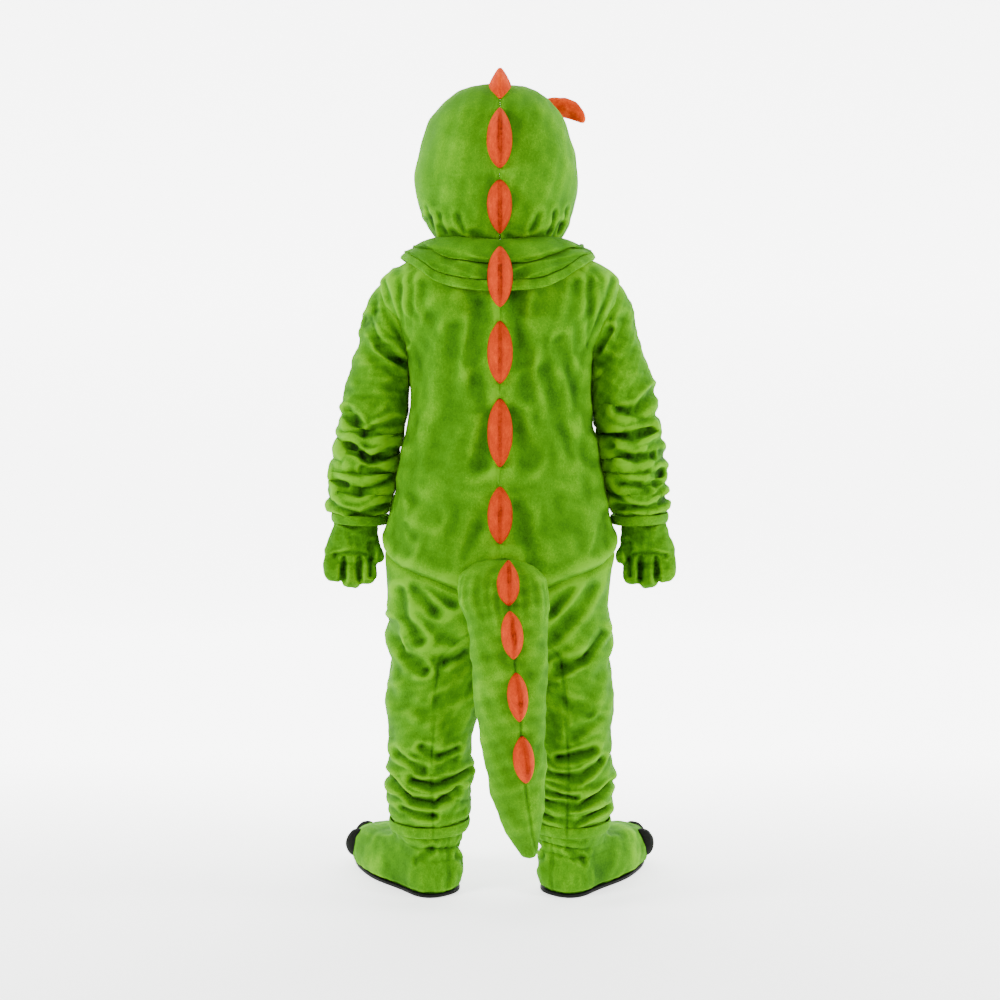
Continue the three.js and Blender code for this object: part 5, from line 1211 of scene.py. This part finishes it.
# The glove's form: a palm and tubes for the fingers joined by cells, smoothed, cut at the wrist, spread and folded.
def gloveForm(side):
    bm = bmesh.new()
    z = np.linspace(753, 912, 40)
    zc = np.clip(z, 753, 893)
    x, y, halfWidth, depth = (along(palmRings, "z", zc, c) for c in ("x", "y", "halfWidth", "depth"))
    a = np.radians(np.arange(72) * 5)[None, :]
    x, y, z, halfWidth, depth = (v[:, None] for v in (x, y, z, halfWidth, depth))
    tubes = [radial(x + halfWidth * np.cos(a), y + depth * np.sin(a), z)]
    t = np.linspace(0, 1, 30)[:, None]
    for x0, z0, x1, z1, x2, y2, z2, radius in zip(*fingers.values()):
        start, bend, tip = np.array([x0, 2, z0]), np.array([x1, 4, z1]), np.array([x2, y2, z2])
        centre = bentLine(start, bend, tip, t)
        tubes.append(tubeRings(centre, glove["slim"] * radius * along(fingerStations, "t", t[:, 0], "r"), 40))
    for rings in tubes:
        mesh = gridMesh("part", closedRings(rings), True, 1)
        bm.from_mesh(mesh)
        bpy.data.meshes.remove(mesh)
    bmesh.ops.recalc_face_normals(bm, faces=bm.faces)
    whole = bpy.data.meshes.new("whole")
    bm.to_mesh(whole)
    bm.free()
    form = bpy.data.objects.new("form", whole)
    bpy.context.scene.collection.objects.link(form)
    cells = form.modifiers.new("cells", "REMESH")
    cells.mode, cells.voxel_size = "VOXEL", glove["cell"] / 1000
    done = bpy.data.meshes.new_from_object(form.evaluated_get(bpy.context.evaluated_depsgraph_get()))
    bpy.data.objects.remove(form)
    bm = bmesh.new()
    bm.from_mesh(done)
    for step in range(glove["smooth"]):
        bmesh.ops.smooth_vert(bm, verts=bm.verts, factor=0.5, use_axis_x=True, use_axis_y=True, use_axis_z=True)
    floor = suit["shoulder"] / 1000
    bmesh.ops.bisect_plane(bm, geom=bm.verts[:] + bm.edges[:] + bm.faces[:],
                           plane_co=(0, 0, glove["wrist"] / 1000 - floor), plane_no=(0, 0, 1), clear_outer=True)
    bm.to_mesh(done)
    bm.free()
    place = np.empty(len(done.vertices) * 3)
    done.vertices.foreach_get("co", place)
    place = place.reshape(-1, 3) * 1000 + [0, 0, suit["shoulder"]]
    normals = np.empty(len(done.vertices) * 3)
    done.vertices.foreach_get("normal", normals)
    normals = normals.reshape(-1, 3)
    place[:, 0] += glove["spread"] * (place[:, 0] - 338) * smooth((830 - place[:, 2]) / 50)
    off = place[:, 1] - along(gloveSeam, "z", place[:, 2], "y")
    push = unevenness(place, 1.2, 34, 131 + side) + unevenness(place, 0.6, 15, 133)
    fold = foldDepth(gloveFolds, place[:, 0], place[:, 2], 1.0)
    push = push - fold - glove["dip"] * np.exp(-((off / glove["dipWidth"]) ** 2))
    place = place + normals * push[:, None]
    place = place * [side, 1, 1] / 1000 - [0, 0, floor]
    done.vertices.foreach_set("co", place.ravel())
    if side < 0:
        done.flip_normals()
    return done


# One half of the glove: the form is bent so that its seam lies in a plane, cut there, and bent back.
def gloveHalf(name, form, rear):
    bm = bmesh.new()
    bm.from_mesh(form)
    floor = suit["shoulder"]
    shifts = along(gloveSeam, "z", np.array([v.co.z * 1000 + floor for v in bm.verts]), "y") / 1000
    for v, shift in zip(bm.verts, shifts):
        v.co.y -= shift
    bmesh.ops.bisect_plane(bm, geom=bm.verts[:] + bm.edges[:] + bm.faces[:], plane_co=(0, 0, 0), plane_no=(0, 1, 0),
                           clear_inner=rear, clear_outer=not rear, dist=1e-5)
    shifts = along(gloveSeam, "z", np.array([v.co.z * 1000 + floor for v in bm.verts]), "y") / 1000
    for v, shift in zip(bm.verts, shifts):
        v.co.y += shift
    half = bpy.data.meshes.new(name)
    bm.to_mesh(half)
    bm.free()
    return half


for side, hand in hands:
    form = gloveForm(side)
    for name, rear in (("glove_palm", True), ("glove_back", False)):
        mesh = gloveHalf(f"{name}_{hand}", form, rear)
        piece = addPiece(f"{name}_{hand}", mesh, greenPlush, f"{name}_{hand}", weld=False)
        wall = piece.modifiers.new("wall", "SOLIDIFY")
        wall.thickness, wall.offset, wall.use_even_offset = suit["cloth"] / 1000, -1, False
    bpy.data.meshes.remove(form)
print("gloves done")

# Floor and backdrop, which glow as painted light, and soft studio light.
studio = {"wide": 18.0, "near": 14.0, "far": -3.2, "bend": 1.6, "tall": 14.0}
glowingPaper = Finish("glowingPaper", Roughness=0.95, Specular_IOR_Level=0.1)
paperPlace = glowingPaper.node("TexCoord", out=3)
paperGrain = glowingPaper.noise(paperPlace, 3.0, 2.0, 0.5)
# Painted light: the paper glows as well as taking light, at strength 5 times a colour that is white from 1.1 m beyond
# the wearer to the back wall, about a third under the wearer and almost nothing from 1.1 m towards the camera.
glowingPaper.shader.inputs["Emission Strength"].default_value = 5.0
paperParts = glowingPaper.node("SeparateXYZ", Vector=paperPlace)
paperY = Value(glowingPaper.tree, paperParts.socket.node.outputs[1])
glow = [(0.12, (1.0, 1.0, 1.0, 1.0)), (0.5, (0.32, 0.32, 0.32, 1.0)), (0.72, (0.28, 0.28, 0.28, 1.0)),
        (0.86, (0.02, 0.02, 0.02, 1.0))]
glowingPaper.feed("Emission Color", glowingPaper.node("ValToRGB", {"stops": glow}, Fac=((paperY + 1.5) * 0.3333).clamped()))
glowingPaper.feed("Base Color", glowingPaper.mix(paperGrain, (0.83, 0.83, 0.83, 1), (0.86, 0.86, 0.86, 1)))
bow = np.linspace(0, math.pi / 2, 24)
profile = np.concatenate([
    [[studio["near"], 0.0]],
    np.stack([studio["far"] - studio["bend"] * np.sin(bow), studio["bend"] * (1 - np.cos(bow))], -1),
    [[studio["far"] - studio["bend"], studio["tall"]]],
])
edges = (-studio["wide"], studio["wide"])
sweep = np.array([[(x, y, z - suit["shoulder"] / 1000) for y, z in profile] for x in edges])
sheet = bpy.data.meshes.new("backdrop")
count = len(profile)
quads = [[i, i + count, i + 1 + count, i + 1] for i in range(count - 1)]
sheet.from_pydata(sweep.reshape(-1, 3).tolist(), [], quads)
sheet.polygons.foreach_set("use_smooth", np.ones(len(sheet.polygons), bool))
sheet.materials.append(glowingPaper.material)
backdrop = bpy.data.objects.new("backdrop", sheet)
bpy.context.scene.collection.objects.link(backdrop)
backdrop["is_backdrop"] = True


# A round lamp at a place, aimed at another.
def areaLight(name, place, aim, size, power):
    data = bpy.data.lights.new(name, "AREA")
    data.shape, data.size, data.energy = "DISK", size, power
    lamp = bpy.data.objects.new(name, data)
    lamp.location = place
    away = np.array(place, float) - np.array(aim, float)
    lamp.rotation_euler = (math.acos(away[2] / np.linalg.norm(away)), 0, math.atan2(away[1], away[0]) + math.pi / 2)
    bpy.context.scene.collection.objects.link(lamp)
    lamp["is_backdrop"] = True


areaLight("key", (2.6, 1.7, 1.0), (0, 0, -0.6), 0.8, 160)
areaLight("right", (-2.7, 1.2, 0.7), (0, 0, -0.6), 0.8, 120)
areaLight("top", (0.0, 1.0, 2.6), (0, 0, -0.5), 0.8, 38)
areaLight("soft", (0.2, 3.8, 0.8), (0, 0, -0.6), 2.0, 20)
world = bpy.data.worlds.new("studio")
world.use_nodes = True
world.node_tree.nodes["Background"].inputs["Color"].default_value = (1.0, 1.0, 1.0, 1.0)
world.node_tree.nodes["Background"].inputs["Strength"].default_value = 0.14
bpy.context.scene.world = world

low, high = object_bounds()
